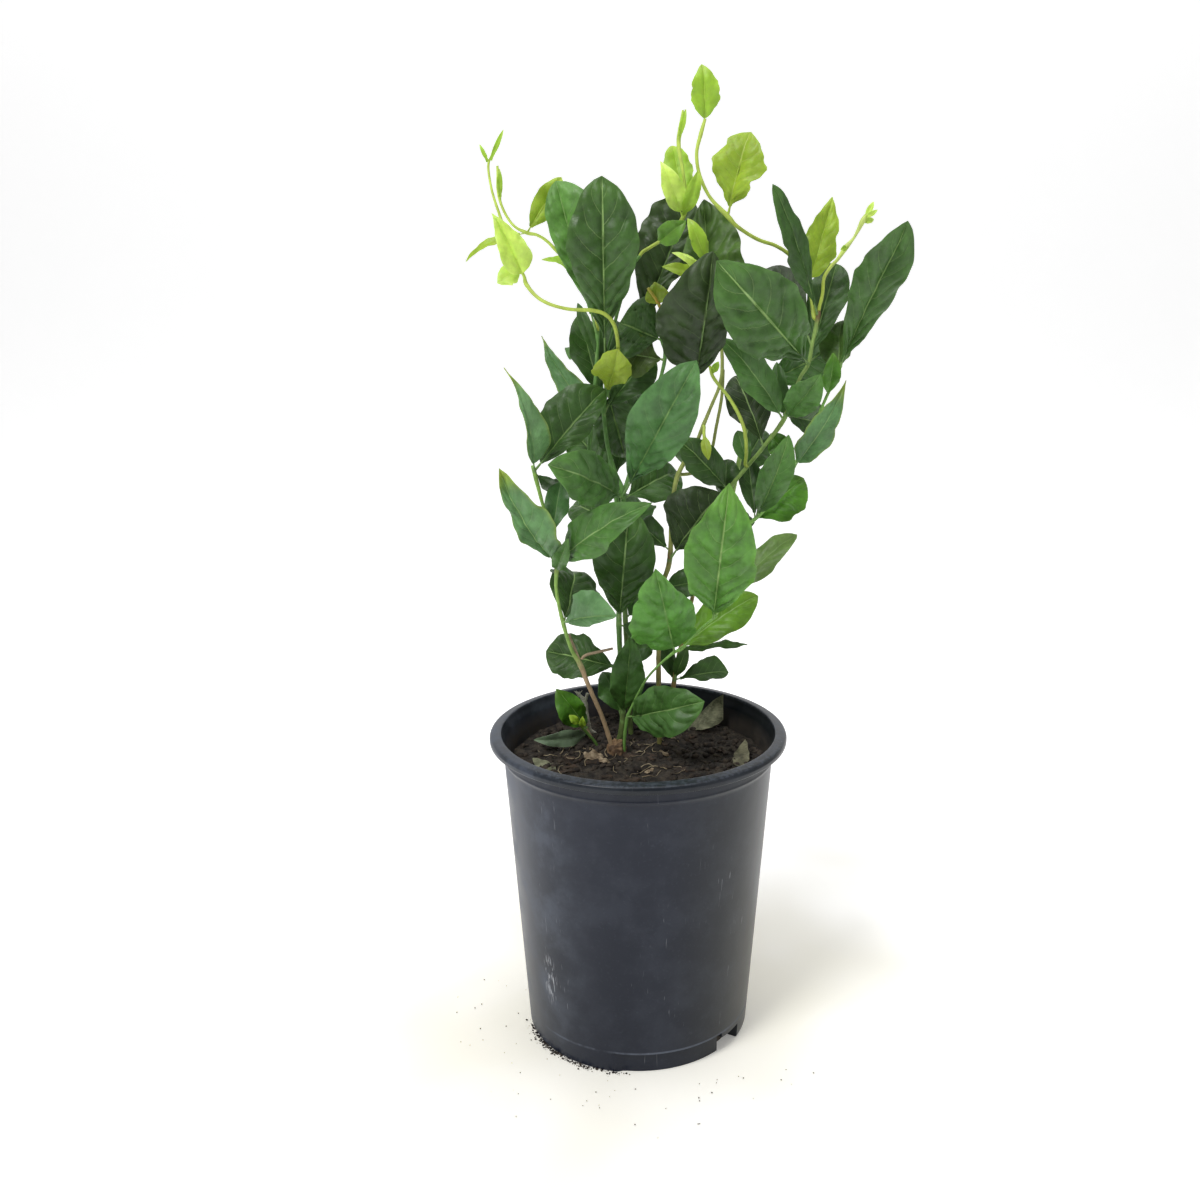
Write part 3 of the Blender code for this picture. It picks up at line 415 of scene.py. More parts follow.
@dataclass(frozen=True)
class LeafBlade:
    """A jasmine leaf's skin: waxy on top, with sunken paler veins that show as fine light lines."""

    name: str
    vein_hex: str
    vein_share: float
    lateral_share: float
    gain: float
    roughness: float
    mottle: float
    glow: float = 0.06
    net_mm: float = 2.2
    vein_depth: float = 0.3

    def build(self) -> Finish:
        """Makes the material."""
        s = Surface(self.name)
        stored = s.tint()
        midrib, lateral = self.veins(s)
        both = s.most(s.times(midrib, self.vein_share), s.times(lateral, self.lateral_share))
        # Mottling in patches of about 12 mm and specks of 2.5 mm, as the leaf's own uneven green has
        patches = s.band(s.grain(12.0, 4.0), 0.32, 0.68, 1.0 - self.mottle, 1.0 + self.mottle)
        specks = s.band(s.grain(2.5, 3.0), 0.32, 0.68, 1.0 - self.mottle / 2, 1.0 + self.mottle / 2)
        blade = s.shaded(stored["Color"], s.times(patches, specks, self.gain))
        # The net of small veins, drawn at about 2.2 mm so that it shows
        cells = {"Vector": s.position, "Scale": 1 / (self.net_mm * MM)}
        net = add_node(s.tree, "TexVoronoi", cells, feature="DISTANCE_TO_EDGE").outputs["Distance"]
        small = s.bump(s.band(net, 0.0, 0.12), 0.08, 0.45)
        sunken = s.times(s.most(midrib, lateral), stored["Alpha"])
        return s.finish(
            Base_Color=s.blend(s.times(both, stored["Alpha"]), blade, rgba(self.vein_hex)),
            Roughness=s.band(s.grain(6.0), 0.3, 0.7, self.roughness - 0.06, self.roughness + 0.06),
            Normal=s.bump(s.minus(1.0, sunken), self.vein_depth, 0.6, small),
            IOR=1.42,
            Subsurface_Weight=self.glow,
            Subsurface_Radius=(0.4, 1.0, 0.2),
            Subsurface_Scale=0.0012,
        )

    def veins(self, s: Surface) -> tuple[Any, Any]:
        """Masks of the midrib, and of the side veins that sweep from it towards the tip."""
        uv = add_node(s.tree, "UVMap", uv_map="UVMap").outputs[0]
        over, up = add_node(s.tree, "SeparateXYZ", {0: uv}).outputs[:2]
        across = s.times(s.apart(over, 0.5), 2.0)
        side = s.times(s.math("GREATER_THAN", over, 0.5), VEIN_SHIFT)
        bend = s.times(across, across, VEIN_BEND)
        along = s.plus(s.minus(s.minus(up, s.times(across, VEIN_SWEEP)), bend), side)
        wander = s.times(s.minus(s.grain(9.0), 0.5), 0.035)
        phase = s.math("FRACT", s.times(s.plus(along, wander), VEIN_COUNT))
        lateral = s.times(s.band(s.apart(phase, 0.5), 0.05, 0.0), s.band(across, 0.95, 0.45, 0.0, 1.0))
        return s.band(across, 0.048, 0.016), lateral


@dataclass(frozen=True)
class StemSkin:
    """Young green or corky brown stem bark: matt, finely streaked, with small pale pores."""

    name: str
    roughness: float
    streak: float
    gain: float = 1.0

    def build(self) -> Finish:
        """Makes the material."""
        s = Surface(self.name)
        # Streaks 0.6 mm wide drawn out along the stems, which stand mostly upright
        streaks = s.grain(0.6, 3.0, s.stretched(1.0, 1.0, 0.18))
        level = s.times(
            s.band(streaks, 0.3, 0.7, 1.0 - self.streak, 1.0 + self.streak),
            s.band(s.grain(5.0, 3.0), 0.3, 0.7, self.gain * 0.88, self.gain * 1.12),
        )
        return s.finish(
            Base_Color=s.shaded(s.tint()["Color"], level),
            Roughness=self.roughness,
            Normal=s.bump(streaks, 0.15, 0.5),
            IOR=1.45,
        )


@dataclass(frozen=True)
class PotPlastic:
    """Injection-moulded polypropylene, reused: dark blue charcoal, satin, with dust, pale scuffs and painted
    light on its sides.
    """

    name: str = "moulded_polypropylene"
    blue_hex: str = "#0d1526"
    lit_grey_hex: str = "#13181c"
    dust_and_sheen_hex: str = "#697180"
    soil_hex: str = "#463f39"
    scuff_hex: str = "#b9bcc4"
    roughness: float = 0.32
    foot_line_z: float = 0.0125
    # The middle of the wall's thickness: its radius at the ground, and its lean a unit of height
    wall_middle: float = 0.0627
    wall_lean: float = 0.0684
    scratch_centre: Point = (-0.0475, -0.0455, 0.048)
    scratch_reach: float = 0.016

    def build(self) -> Finish:
        """Makes the material."""
        s = Surface(self.name)
        x, y, z = s.axes()
        # Painted light: the blue turns to a lighter, warmer grey on the right side, where the light falls,
        # and on the lip's band
        right = s.most(s.band(x, 0.01, 0.065), s.band(z, 0.168, 0.172, 0.0, 0.8))
        plastic = s.blend(right, rgba(self.blue_hex), rgba(self.lit_grey_hex))
        # Dust, with painted sheen on the left side, in the dust's pale blue grey
        dust_and_sheen = self.dust_and_sheen(s, x, z)
        colour = s.blend(dust_and_sheen, plastic, rgba(self.dust_and_sheen_hex))
        scuffs = s.most(self.rubs(s), self.scratches(s))
        colour = s.blend(scuffs, colour, rgba(self.scuff_hex))
        # Mix that has dried on the inner wall, in patches that thin out upwards
        patches = s.band(s.grain(7.0, 5.0, roughness=0.7), 0.30, 0.62, 0.35, 0.95)
        crust = s.times(self.inside(s, x, y, z), patches)
        dusty_and_sheened = s.band(dust_and_sheen, 0.0, 0.6, self.roughness, self.roughness + 0.22)
        # A faint moulded texture of 0.7 mm and slow waves of 18 mm, as a thin moulded wall has
        waves = s.bump(s.grain(18.0, 1.0), 0.5, 0.35)
        return s.finish(
            Base_Color=s.blend(crust, colour, rgba(self.soil_hex)),
            Roughness=s.plus(dusty_and_sheened, s.times(crust, 0.4)),
            Normal=s.bump(s.grain(0.7, 2.0), 0.05, 0.3, waves),
            IOR=1.49,
            Specular_IOR_Level=0.33,
        )

    def dust_and_sheen(self, s: Surface, x: Any, z: Any) -> Any:
        """How dusty it is, and painted sheen: clouds and a haze that grow to the left, a line at the foot and
        the lip's rubbed top.
        """
        cloud = s.grain(25.0, 5.0, roughness=0.6)
        # Painted sheen: the left side, where the light falls, gets more of the dust's colour
        left = s.band(x, -0.015, -0.075)
        dusty_and_sheened = s.times(s.band(cloud, 0.40, 0.72), s.band(left, 0.0, 1.0, 0.07, 0.42))
        fine = s.band(s.grain(1.6, 3.0), 0.56, 0.74)
        # Fine dust specks all over, and a painted haze of sheen that grows to the left
        fine_dust_and_sheen = s.plus(s.times(fine, 0.04), s.times(left, 0.12))
        foot_line = s.times(s.band(s.apart(z, self.foot_line_z), 0.0011, 0.0003), s.band(cloud, 0.35, 0.6))
        on_lip = s.times(s.band(z, 0.1752, 0.1764), s.band(s.grain(2.2, 4.0), 0.40, 0.66, 0.06, 0.30))
        return s.most(s.most(s.plus(dusty_and_sheened, fine_dust_and_sheen, clamp=True), s.times(foot_line, 0.55)), on_lip)

    def rubs(self, s: Surface) -> Any:
        """Upright rub marks about 1 mm wide, only in the zones of a slower noise."""
        marks = s.band(s.grain(1.1, 2.0, s.stretched(1.0, 1.0, 0.07)), 0.66, 0.74)
        zones = s.band(s.grain(30.0, 1.0, s.stretched(1.0, 1.0, 0.6)), 0.56, 0.66)
        return s.times(marks, zones, 0.16)

    def inside(self, s: Surface, x: Any, y: Any, z: Any) -> Any:
        """1 on the inner wall between the mix and the lip, and 0 on the outside."""
        radius = s.length(add_node(s.tree, "CombineXYZ", {0: x, 1: y}).outputs[0])
        middle = s.plus(s.times(z, self.wall_lean), self.wall_middle)
        reach = s.times(s.band(z, 0.150, 0.153), s.band(z, 0.1745, 0.1600))
        return s.times(s.math("LESS_THAN", radius, middle), reach)

    def scratches(self, s: Surface) -> Any:
        """White scratches in one small patch low on the front left."""
        place = {0: s.position, 1: self.scratch_centre}
        away = add_node(s.tree, "VectorMath", place, operation="SUBTRACT").outputs[0]
        drawn_out = {0: away, 1: (2.4, 2.4, 0.8)}
        squeezed = add_node(s.tree, "VectorMath", drawn_out, operation="MULTIPLY").outputs[0]
        patch = s.band(s.length(squeezed), self.scratch_reach, self.scratch_reach * 0.35)
        lines = s.band(s.grain(0.9, 2.0, s.stretched(1.0, 1.0, 0.10)), 0.54, 0.61)
        return s.times(patch, lines, 0.6)


@dataclass(frozen=True)
class PottingMixFinish:
    """Damp composted bark and peat: near black, crumbly, quite matt, with brown fibres in it."""

    name: str
    dark_hex: str = "#24211f"
    brown_hex: str = "#474038"
    fibre_hex: str = "#6d5a47"

    def build(self) -> Finish:
        """Makes the material."""
        s = Surface(self.name)
        lumps = s.grain(5.0, 5.0, roughness=0.65)
        grit = s.grain(1.2, 4.0, roughness=0.7)
        colour = s.blend(s.band(lumps, 0.35, 0.68), rgba(self.dark_hex), rgba(self.brown_hex))
        colour = s.blend(s.times(s.band(grit, 0.60, 0.74), 0.55), colour, rgba(self.fibre_hex))
        coarse = s.bump(lumps, 1.4, 0.7)
        return s.finish(
            Base_Color=colour,
            Roughness=s.band(grit, 0.3, 0.7, 0.78, 0.95),
            Normal=s.bump(grit, 0.6, 0.8, coarse),
            IOR=1.4,
            Specular_IOR_Level=0.35,
        )


@dataclass(frozen=True)
class DryTissue:
    """Dead leaf or bark chip: papery or woody, dull, with darker blotches and fine ribs."""

    name: str
    light_hex: str
    dark_hex: str
    blotch: float = 6.0
    roughness: float = 0.82

    def build(self) -> Finish:
        """Makes the material."""
        s = Surface(self.name)
        patches = s.grain(self.blotch, 4.0, roughness=0.6)
        fibres = s.grain(0.8, 3.0, s.stretched(0.25, 1.0, 1.0))
        colour = s.blend(s.band(patches, 0.36, 0.64), rgba(self.light_hex), rgba(self.dark_hex))
        return s.finish(
            Base_Color=s.shaded(colour, s.band(fibres, 0.3, 0.7, 0.8, 1.18)),
            Roughness=self.roughness,
            Normal=s.bump(fibres, 0.3, 0.7),
            IOR=1.4,
        )


@dataclass(frozen=True)
class PaleFloor:
    """Matt white studio sweep, bright by itself, with painted shade round the pot: creamier there and glowing
    less.
    """

    name: str = "matt_white_sweep"
    white_hex: str = "#ffffff"
    painted_shade_hex: str = "#f4f0df"
    painted_shade_reach: float = 0.42
    pot_reach: float = 0.06
    glow: float = 0.42
    glow_in_painted_shade: float = 0.17

    def build(self) -> Finish:
        """Makes the material."""
        s = Surface(self.name)
        cloud = s.band(s.grain(160.0, 2.0), 0.3, 0.7, 0.0, 0.3)
        away = s.plus(s.length(s.position), s.times(cloud, self.painted_shade_reach))
        # Painted shade: round the pot the sweep turns cream and glows less
        share = s.band(away, self.painted_shade_reach, self.pot_reach)
        return s.finish(
            Base_Color=s.blend(share, rgba(self.white_hex), rgba(self.painted_shade_hex)),
            Roughness=0.75,
            Emission_Color=rgba(self.white_hex),
            Emission_Strength=s.band(share, 0.0, 1.0, self.glow, self.glow_in_painted_shade),
        )


# The plant

# A stalk's half width and its slimmest radius, in millimetres
PETIOLE_HALF = 0.8
STALK_RADIUS = 0.75
STALK_SLIMMER = 0.22

# A blade's relief: the sunken midrib, the cushions between the side veins, and puckers of two sizes.
# All but the midrib's are shares of the blade's width.
MIDRIB_DEPTH = 0.6
MIDRIB_HALF = 1.1
FULL_WIDTH = 24.0
CUSHION_RISE = 0.052
CUSHION_BASE = 0.016
PUCKERS = ((0.060, 9.0), (0.020, 3.6))

# A margin's waves and its small frill, as shares of the width, and how often each turns along the blade
WAVE_SHARE, WAVE_MOST, WAVE_TURNS = 0.10, 2.4, 1.9
FRILL_SHARE, FRILL_TURNS = 0.028, 5.6

# Thickness of the blades, and the width and length of their grid's cells, in millimetres
YOUNG_BLADE = 0.30
MATURE_BLADE = 0.42
CELL_WIDTH = 1.25
CELL_LENGTH = 1.4

# How much of a stalk's colour is the pale one below, the rest being the blade's
YOUNG_STALK = ("#b9cf5c", 0.45)
MATURE_STALK = ("#8fb069", 0.55)

# A brown node on green bark: its colour, half its height in millimetres, and its share in the mix
BROWN_NODE = "#6d4c35"
NODE_REACH = 3.0
NODE_SHARE = 0.85


@dataclass(frozen=True)
class Leaf:
    """One leaf: its tone, its base and tip as (x, z, depth), its full width, and how it turns and bends.

    blunt moves the widest place towards the tip, or if negative towards the base. lobes is how uneven the
    margin is, as a share of the width, skew makes the half on the across side wider than the other, and
    sharp draws the tip out.
    """

    tone: Tone
    base: Point
    tip: Point
    width: float
    roll: float = 0.0
    arch: float = 0.09
    curl: float = 0.06
    fold: float = 15.0
    petiole: float = 0.10
    twist: float = 0.0
    blunt: float = 0.15
    lobes: float = 0.045
    skew: float = 0.0
    sharp: float = 0.0


@dataclass
class LeafForm:
    """The bent surface of one leaf, as arrays over places u along it and v across it."""

    leaf: Leaf
    base: Vector
    along: Array = field(init=False)
    upper: Array = field(init=False)
    across: Array = field(init=False)
    length: float = field(init=False)
    phase: float = field(init=False)

    def __post_init__(self) -> None:
        """Works out the leaf's own directions. At roll 0 its upper side faces the eye."""
        tip = at(*self.leaf.tip)
        self.length = (tip - self.base).length
        along = (tip - self.base) / self.length
        upper = EYE - (tip + self.base) / 2
        upper = (upper - along * upper.dot(along)).normalized()
        across = along.cross(upper)
        turn = math.radians(self.leaf.roll)
        self.along = np.array(along)
        self.upper = np.array(upper * math.cos(turn) + across * math.sin(turn))
        self.across = np.array(across * math.cos(turn) - upper * math.sin(turn))
        self.phase = (self.leaf.base[0] * 0.37 + self.leaf.tip[1] * 0.23) % 1.0

    def share(self, u: Array) -> Array:
        """How far along the blade itself, 0 to 1, a place u along the whole leaf is."""
        return np.clip((u - self.leaf.petiole) / (1.0 - self.leaf.petiole), 0.0, 1.0)

    def outline(self, t: Array) -> Array:
        """Half width of the blade at t, where 1 is the widest."""
        blunt = self.leaf.blunt
        rise = 0.6 + (1.0 if blunt > 0 else 0.5) * blunt
        fall = 0.85 - (0.2 if blunt > 0 else 0.8) * blunt + self.leaf.sharp
        peak = rise / (rise + fall)
        return t**rise * (1.0 - t) ** fall / (peak**rise * (1.0 - peak) ** fall)

    def bow(self, u: Array) -> Array:
        """How far the leaf's middle line stands off the straight line from base to tip."""
        curl = self.leaf.curl * np.clip((u - 0.7) / 0.3, 0, None) ** 2
        return self.length * (self.leaf.arch * 4 * u * (1 - u) - curl)

    def half(self, t: Array, v: Array) -> Array:
        """Half width in millimetres, with the uneven margin of a real leaf, unlike on its two sides."""
        side = np.where(v > 0, 0.31, 0.0)
        slow = np.sin(math.tau * (3.1 * t + self.phase + side))
        quick = np.sin(math.tau * (6.7 * t + 1.7 * self.phase - side))
        corners = 1 - 4 * np.abs((2.3 * t + 1.3 * self.phase + 2 * side) % 1.0 - 0.5)
        uneven = 1 + self.leaf.lobes * (0.5 * (slow + 0.5 * quick) + 0.7 * corners)
        width = self.leaf.width / 2 * self.outline(t) * uneven * (1 + self.leaf.skew * np.sign(v))
        return np.maximum(width, PETIOLE_HALF * (1 - smooth(0.0, 0.35, t)) + 0.12)

    def turned(self, u: Array) -> tuple[Array, Array]:
        """The upper and across directions at u, turned by the leaf's twist."""
        turn = (math.radians(self.leaf.twist) * u)[:, None]
        return (
            self.upper * np.cos(turn) + self.across * np.sin(turn),
            self.across * np.cos(turn) - self.upper * np.sin(turn),
        )

    def relief(self, t: Array, v: Array, half: Array) -> Array:
        """The blade's own relief: a sunken midrib, sunken side veins, cushions between them and puckers."""
        width = self.leaf.width
        reach = np.abs(v)
        midrib = -MIDRIB_DEPTH * min(1.0, width / FULL_WIDTH) * np.exp(-((v * half / MIDRIB_HALF) ** 2))
        run = t - VEIN_SWEEP * reach - VEIN_BEND * reach**2 + np.where(v > 0, VEIN_SHIFT, 0.0)
        off = np.abs((run * VEIN_COUNT) % 1.0 - 0.5)
        inside = 4 * reach * (1 - reach) * smooth(0.02, 0.15, t) * smooth(1.0, 0.85, t)
        cushions = (CUSHION_RISE * width * np.sin(math.pi * off) ** 0.8 - CUSHION_BASE * width) * inside
        flat = np.stack([t * self.length, v * half, np.full(len(t), 40 * self.phase)], axis=1)
        puckers = sum(share * width * noise_of(flat, size) for share, size in PUCKERS)
        return midrib + cushions + puckers * smooth(0.0, 0.2, t)

    def points(self, u: Array, v: Array) -> Array:
        """The places in millimetres on the leaf at u along it, 0 to 1, and v across it, -1 to 1."""
        leaf = self.leaf
        t = self.share(u)
        half = self.half(t, v)
        up, side = self.turned(u)
        fold = math.radians(leaf.fold)
        lift = half * (np.abs(v) * math.sin(fold) - v * v * 0.12)
        beside = np.where(v > 0, 0.22, 0.0)
        swell = np.sqrt(np.clip(np.sin(math.pi * t), 0, None))
        turns = np.sin(math.tau * (WAVE_TURNS * t + self.phase + beside))
        wave = v * v * min(WAVE_MOST, WAVE_SHARE * leaf.width) * turns * swell
        turns = np.sin(math.tau * (FRILL_TURNS * t + 2.3 * self.phase + beside))
        frill = v**4 * FRILL_SHARE * leaf.width * turns * swell
        rise = self.bow(u) + lift + wave + frill + self.relief(t, v, half)
        return self.run(u) + up * rise[:, None] + side * (half * v * math.cos(fold))[:, None]

    def stalk(self) -> Tube:
        """The stalk and the keel that it becomes under the blade, as places and radii."""
        u = np.linspace(0.0, 0.93, 16)
        up, _ = self.turned(u)
        joins = smooth(0.0, max(0.04, self.leaf.petiole * 1.2), u)
        slim = min(1.0, 0.35 + self.leaf.width / 36.0)
        radii = slim * (STALK_RADIUS - STALK_SLIMMER * joins) * (1 - 0.72 * u)
        rise = self.bow(u) - joins * (0.45 * min(1.0, self.leaf.width / FULL_WIDTH) + radii * 0.7)
        return self.run(u) + up * rise[:, None], radii

    def run(self, u: Array) -> Array:
        """The places at u on the straight line from base to tip."""
        return np.array(self.base) + self.along * (self.length * u)[:, None]


def curve_through(places_and_radii: Line, step: float = 1.5) -> Tube:
    """A smooth line through a stem's points, with a point every step millimetres.

    Args:
        places_and_radii: The stem's points and its radius at each.
        step: The spacing in millimetres.

    Returns:
        The places, one row each, and the radii.
    """
    knots = np.array([[*place, radius] for place, radius in places_and_radii])
    padded = np.vstack([2 * knots[0] - knots[1], knots, 2 * knots[-1] - knots[-2]])
    found = []
    for i in range(1, len(knots)):
        p0, p1, p2, p3 = padded[i - 1 : i + 3]
        count = max(2, math.ceil(np.linalg.norm(p2[:3] - p1[:3]) / step))
        t = (np.arange(count) / count)[:, None]
        bend = (
            2 * p1
            + (p2 - p0) * t
            + (2 * p0 - 5 * p1 + 4 * p2 - p3) * t**2
            + (3 * p1 - p0 - 3 * p2 + p3) * t**3
        ) / 2
        # A plain mix of the radii keeps a node's swelling short and never undershoots
        bend[:, 3] = (p1[3] + (p2[3] - p1[3]) * smooth(0.0, 1.0, t))[:, 0]
        found.append(bend)
    found.append(knots[-1:])
    line = np.vstack(found)
    return line[:, :3], line[:, 3]


def tubes(name: str, lines: Sequence[Tube], sides_level: int) -> Piece:
    """Round stems through lines of places and radii, as one mesh with closed ends.

    Args:
        name: The object's name.
        lines: For each stem its places and radii in millimetres.
        sides_level: The curve's bevel resolution.

    Returns:
        The mesh object.
    """
    deselect()
    bpy.ops.curve.primitive_nurbs_path_add()
    stem = bpy.context.active_object
    stem.name = name
    curve = stem.data
    curve.splines.clear()
    curve.bevel_depth = MM
    curve.bevel_resolution = sides_level
    curve.use_fill_caps = True
    for spots, radii in lines:
        spline = curve.splines.new("POLY")
        spline.points.add(len(spots) - 1)
        flat = np.ones((len(spots), 4))
        flat[:, :3] = spots * MM
        spline.points.foreach_set("co", flat.ravel())
        spline.points.foreach_set("radius", radii)
    pick(stem)
    bpy.ops.object.convert(target="MESH")
    stem = bpy.context.active_object
    mend(stem)
    return stem


@dataclass
class LeafySpray:
    """One stem with its branches and leaves, as two pieces: the bark and the blades.

    change holds the heights between which the bark turns from its lower to its upper colour.
    """

    name: str
    bark: Bark
    change: tuple[float, float]
    routes: list[Line]
    leaves: list[Leaf]
    young: bool = False
    branch_bark: Bark | None = None
    brown_nodes: Sequence[int] = ()

    def build(self, finishes: Finishes) -> list[Piece]:
        """Builds both pieces and puts them in the frame.

        Args:
            finishes: The plant's materials by name.

        Returns:
            The pieces.
        """
        forms = [LeafForm(leaf, self.seat(leaf)) for leaf in self.leaves]
        slot = Slot.YOUNG if self.young else Slot.MATURE
        return [place_piece(make(forms, finishes), slot, self.name) for make in (self.stems, self.blades)]

    def seat(self, leaf: Leaf) -> Vector:
        """The point of the stems' centre lines that is nearest to where the leaf starts."""
        place = at(*leaf.base)
        best = None
        for line in self.routes:
            for (start, _), (end, _) in zip(line, line[1:]):
                run = end - start
                share = max(0.0, min(1.0, (place - start).dot(run) / run.length_squared))
                point = start + run * share
                if best is None or (point - place).length < (best - place).length:
                    best = point
        return best

    def blades(self, forms: Sequence[LeafForm], finishes: Finishes) -> Piece:
        """All the blades as one piece, with a glossier upper side and a paler underside."""
        sides = ("young_blade", "young_underside") if self.young else ("mature_blade", "mature_underside")
        skins = [finishes[side] for side in sides]
        piece = join(self.name + "_blades", [self.blade(i, form, skins) for i, form in enumerate(forms)])
        shade(piece, 60.0)
        return piece

    def blade(self, number: int, form: LeafForm, skins: Sequence[Finish]) -> Piece:
        """One blade: a grid bent to the leaf's form and given its thickness."""
        leaf = form.leaf
        deselect()
        bpy.ops.mesh.primitive_grid_add(
            x_subdivisions=int(np.clip(round(leaf.width / CELL_WIDTH), 8, 28)),
            y_subdivisions=int(np.clip(round(form.length * (1 - leaf.petiole) / CELL_LENGTH), 10, 60)),
            size=2.0,
        )
        sheet = bpy.context.active_object
        grid = places(sheet.data) * MM
        v = grid[:, 0]
        t = (grid[:, 1] + 1) / 2
        u = leaf.petiole + (1 - leaf.petiole) * t
        set_places(sheet.data, form.points(u, v))
        blade_colour, edge_colour = (np.array(linear(code)) for code in leaf.tone.value)
        to_edge = np.clip(smooth(0.78, 1.0, t) + 0.6 * smooth(0.86, 1.0, np.abs(v)), 0, 1)[:, None]
        lot = random.Random(f"{self.name}{number}")
        level = lot.uniform(0.92, 1.08)
        veins = lot.uniform(0.25, 1.0) * min(1.0, leaf.width / 26.0)
        set_tint(sheet.data, (blade_colour * (1 - to_edge) + edge_colour * to_edge) * level, veins)
        for skin in skins:
            sheet.data.materials.append(skin)
        apply_modifier(
            sheet,
            "SOLIDIFY",
            thickness=(YOUNG_BLADE if self.young else MATURE_BLADE) * MM,
            offset=0.0,
            material_offset=1,
        )
        return sheet

    def stems(self, forms: Sequence[LeafForm], finishes: Finishes) -> Piece:
        """The stem, its branches and the leaf stalks as one piece."""
        lines = [curve_through(line) for line in self.routes] + [form.stalk() for form in forms]
        samples = [spots for spots, _ in lines]
        tints = [self.bark_tint(number, samples[number][:, 2]) for number in range(len(self.routes))]
        pale, share = YOUNG_STALK if self.young else MATURE_STALK
        for form, spots in zip(forms, samples[len(self.routes) :]):
            green = np.array(linear(form.leaf.tone.value[0]))
            tints.append(np.tile(green * (1 - share) + np.array(linear(pale)) * share, (len(spots), 1)))
        piece = tubes(self.name + "_stems", lines, 2 if self.young else 3)
        self.roughen(piece, np.vstack(samples), np.vstack(tints))
        return dress(piece, finishes["young_stem" if self.young else "stem"], 50.0)

    def bark_tint(self, number: int, heights: Array) -> Array:
        """The bark's colour at each height on a route, with the main stem's brown nodes."""
        bark = self.branch_bark if number and self.branch_bark else self.bark
        low, high = (np.array(linear(code)) for code in bark.value)
        rise = smooth(*self.change, heights)[:, None]
        tint = low * (1 - rise) + high * rise
        nodes = self.brown_nodes if number == 0 else ()
        for z in nodes:
            near = np.exp(-(((heights - z) / NODE_REACH) ** 2))[:, None] * NODE_SHARE
            tint = tint * (1 - near) + np.array(linear(BROWN_NODE)) * near
        return tint

    def roughen(self, piece: Piece, samples: Array, tints: Array) -> None:
        """Gives the bark its small lumps, and each point the tint of the stem that it lies on."""
        tree = kdtree.KDTree(len(samples))
        for i, sample in enumerate(samples):
            tree.insert(sample, i)
        tree.balance()
        points = places(piece.data)
        nearest = np.array([tree.find(p)[1] for p in points])
        reach = np.linalg.norm(points - samples[nearest], axis=1)
        lumps = noise_of(points, 2.2) * np.minimum(0.10 * reach, 0.22)
        set_places(piece.data, points + normals_of(piece.data) * lumps[:, None])
        set_tint(piece.data, tints[nearest])


@dataclass
class YoungShoot(LeafySpray):
    """A pale young shoot, with thinner blades and smoother skin than a mature spray."""

    young: bool = True


# The jasmine's stems and leaves, one function for each node. A route's spots are (x, z, depth, radius).


def route(spots: Sequence[Spot]) -> Line:
    """Places and radii along a stem from its (x, z, depth, radius) spots."""
    return [(at(x, z, depth), radius) for x, z, depth, radius in spots]


def rooted(spots: Sequence[Spot]) -> Line:
    """A route whose first spot stands on the mix, lengthened straight down into it."""
    line = route(spots)
    place, radius = line[0]
    line[0] = (Vector((place.x, place.y, SOIL_LEVEL)), radius)
    return [(Vector((place.x, place.y, SOIL_LEVEL - ROOT_DEPTH)), radius)] + line


def onward(parent: Line, spots: Sequence[Spot]) -> Line:
    """A young stem that goes on from the end of its parent, and starts just inside it."""
    end = parent[-1][0]
    way = (end - parent[-2][0]).normalized()
    young = spots[0][3]
    return [(end - way * YOUNG_SEAT, young), (end + way * (GAP + 2 * young), young)] + route(spots)


def beside(parent: Line, index: int, spots: Sequence[Spot]) -> Line:
    """A young stem that leaves the side of its parent, and starts just under the bark."""
    foot, radius = parent[index]
    way = (parent[min(index + 1, len(parent) - 1)][0] - parent[index - 1][0]).normalized()
    out = at(*spots[0][:3]) - foot
    out = (out - way * out.dot(way)).normalized()
    young = spots[0][3]
    start = foot + out * (radius - YOUNG_SEAT)
    return [(start, young), (foot + out * (radius + GAP + young), young)] + route(spots)


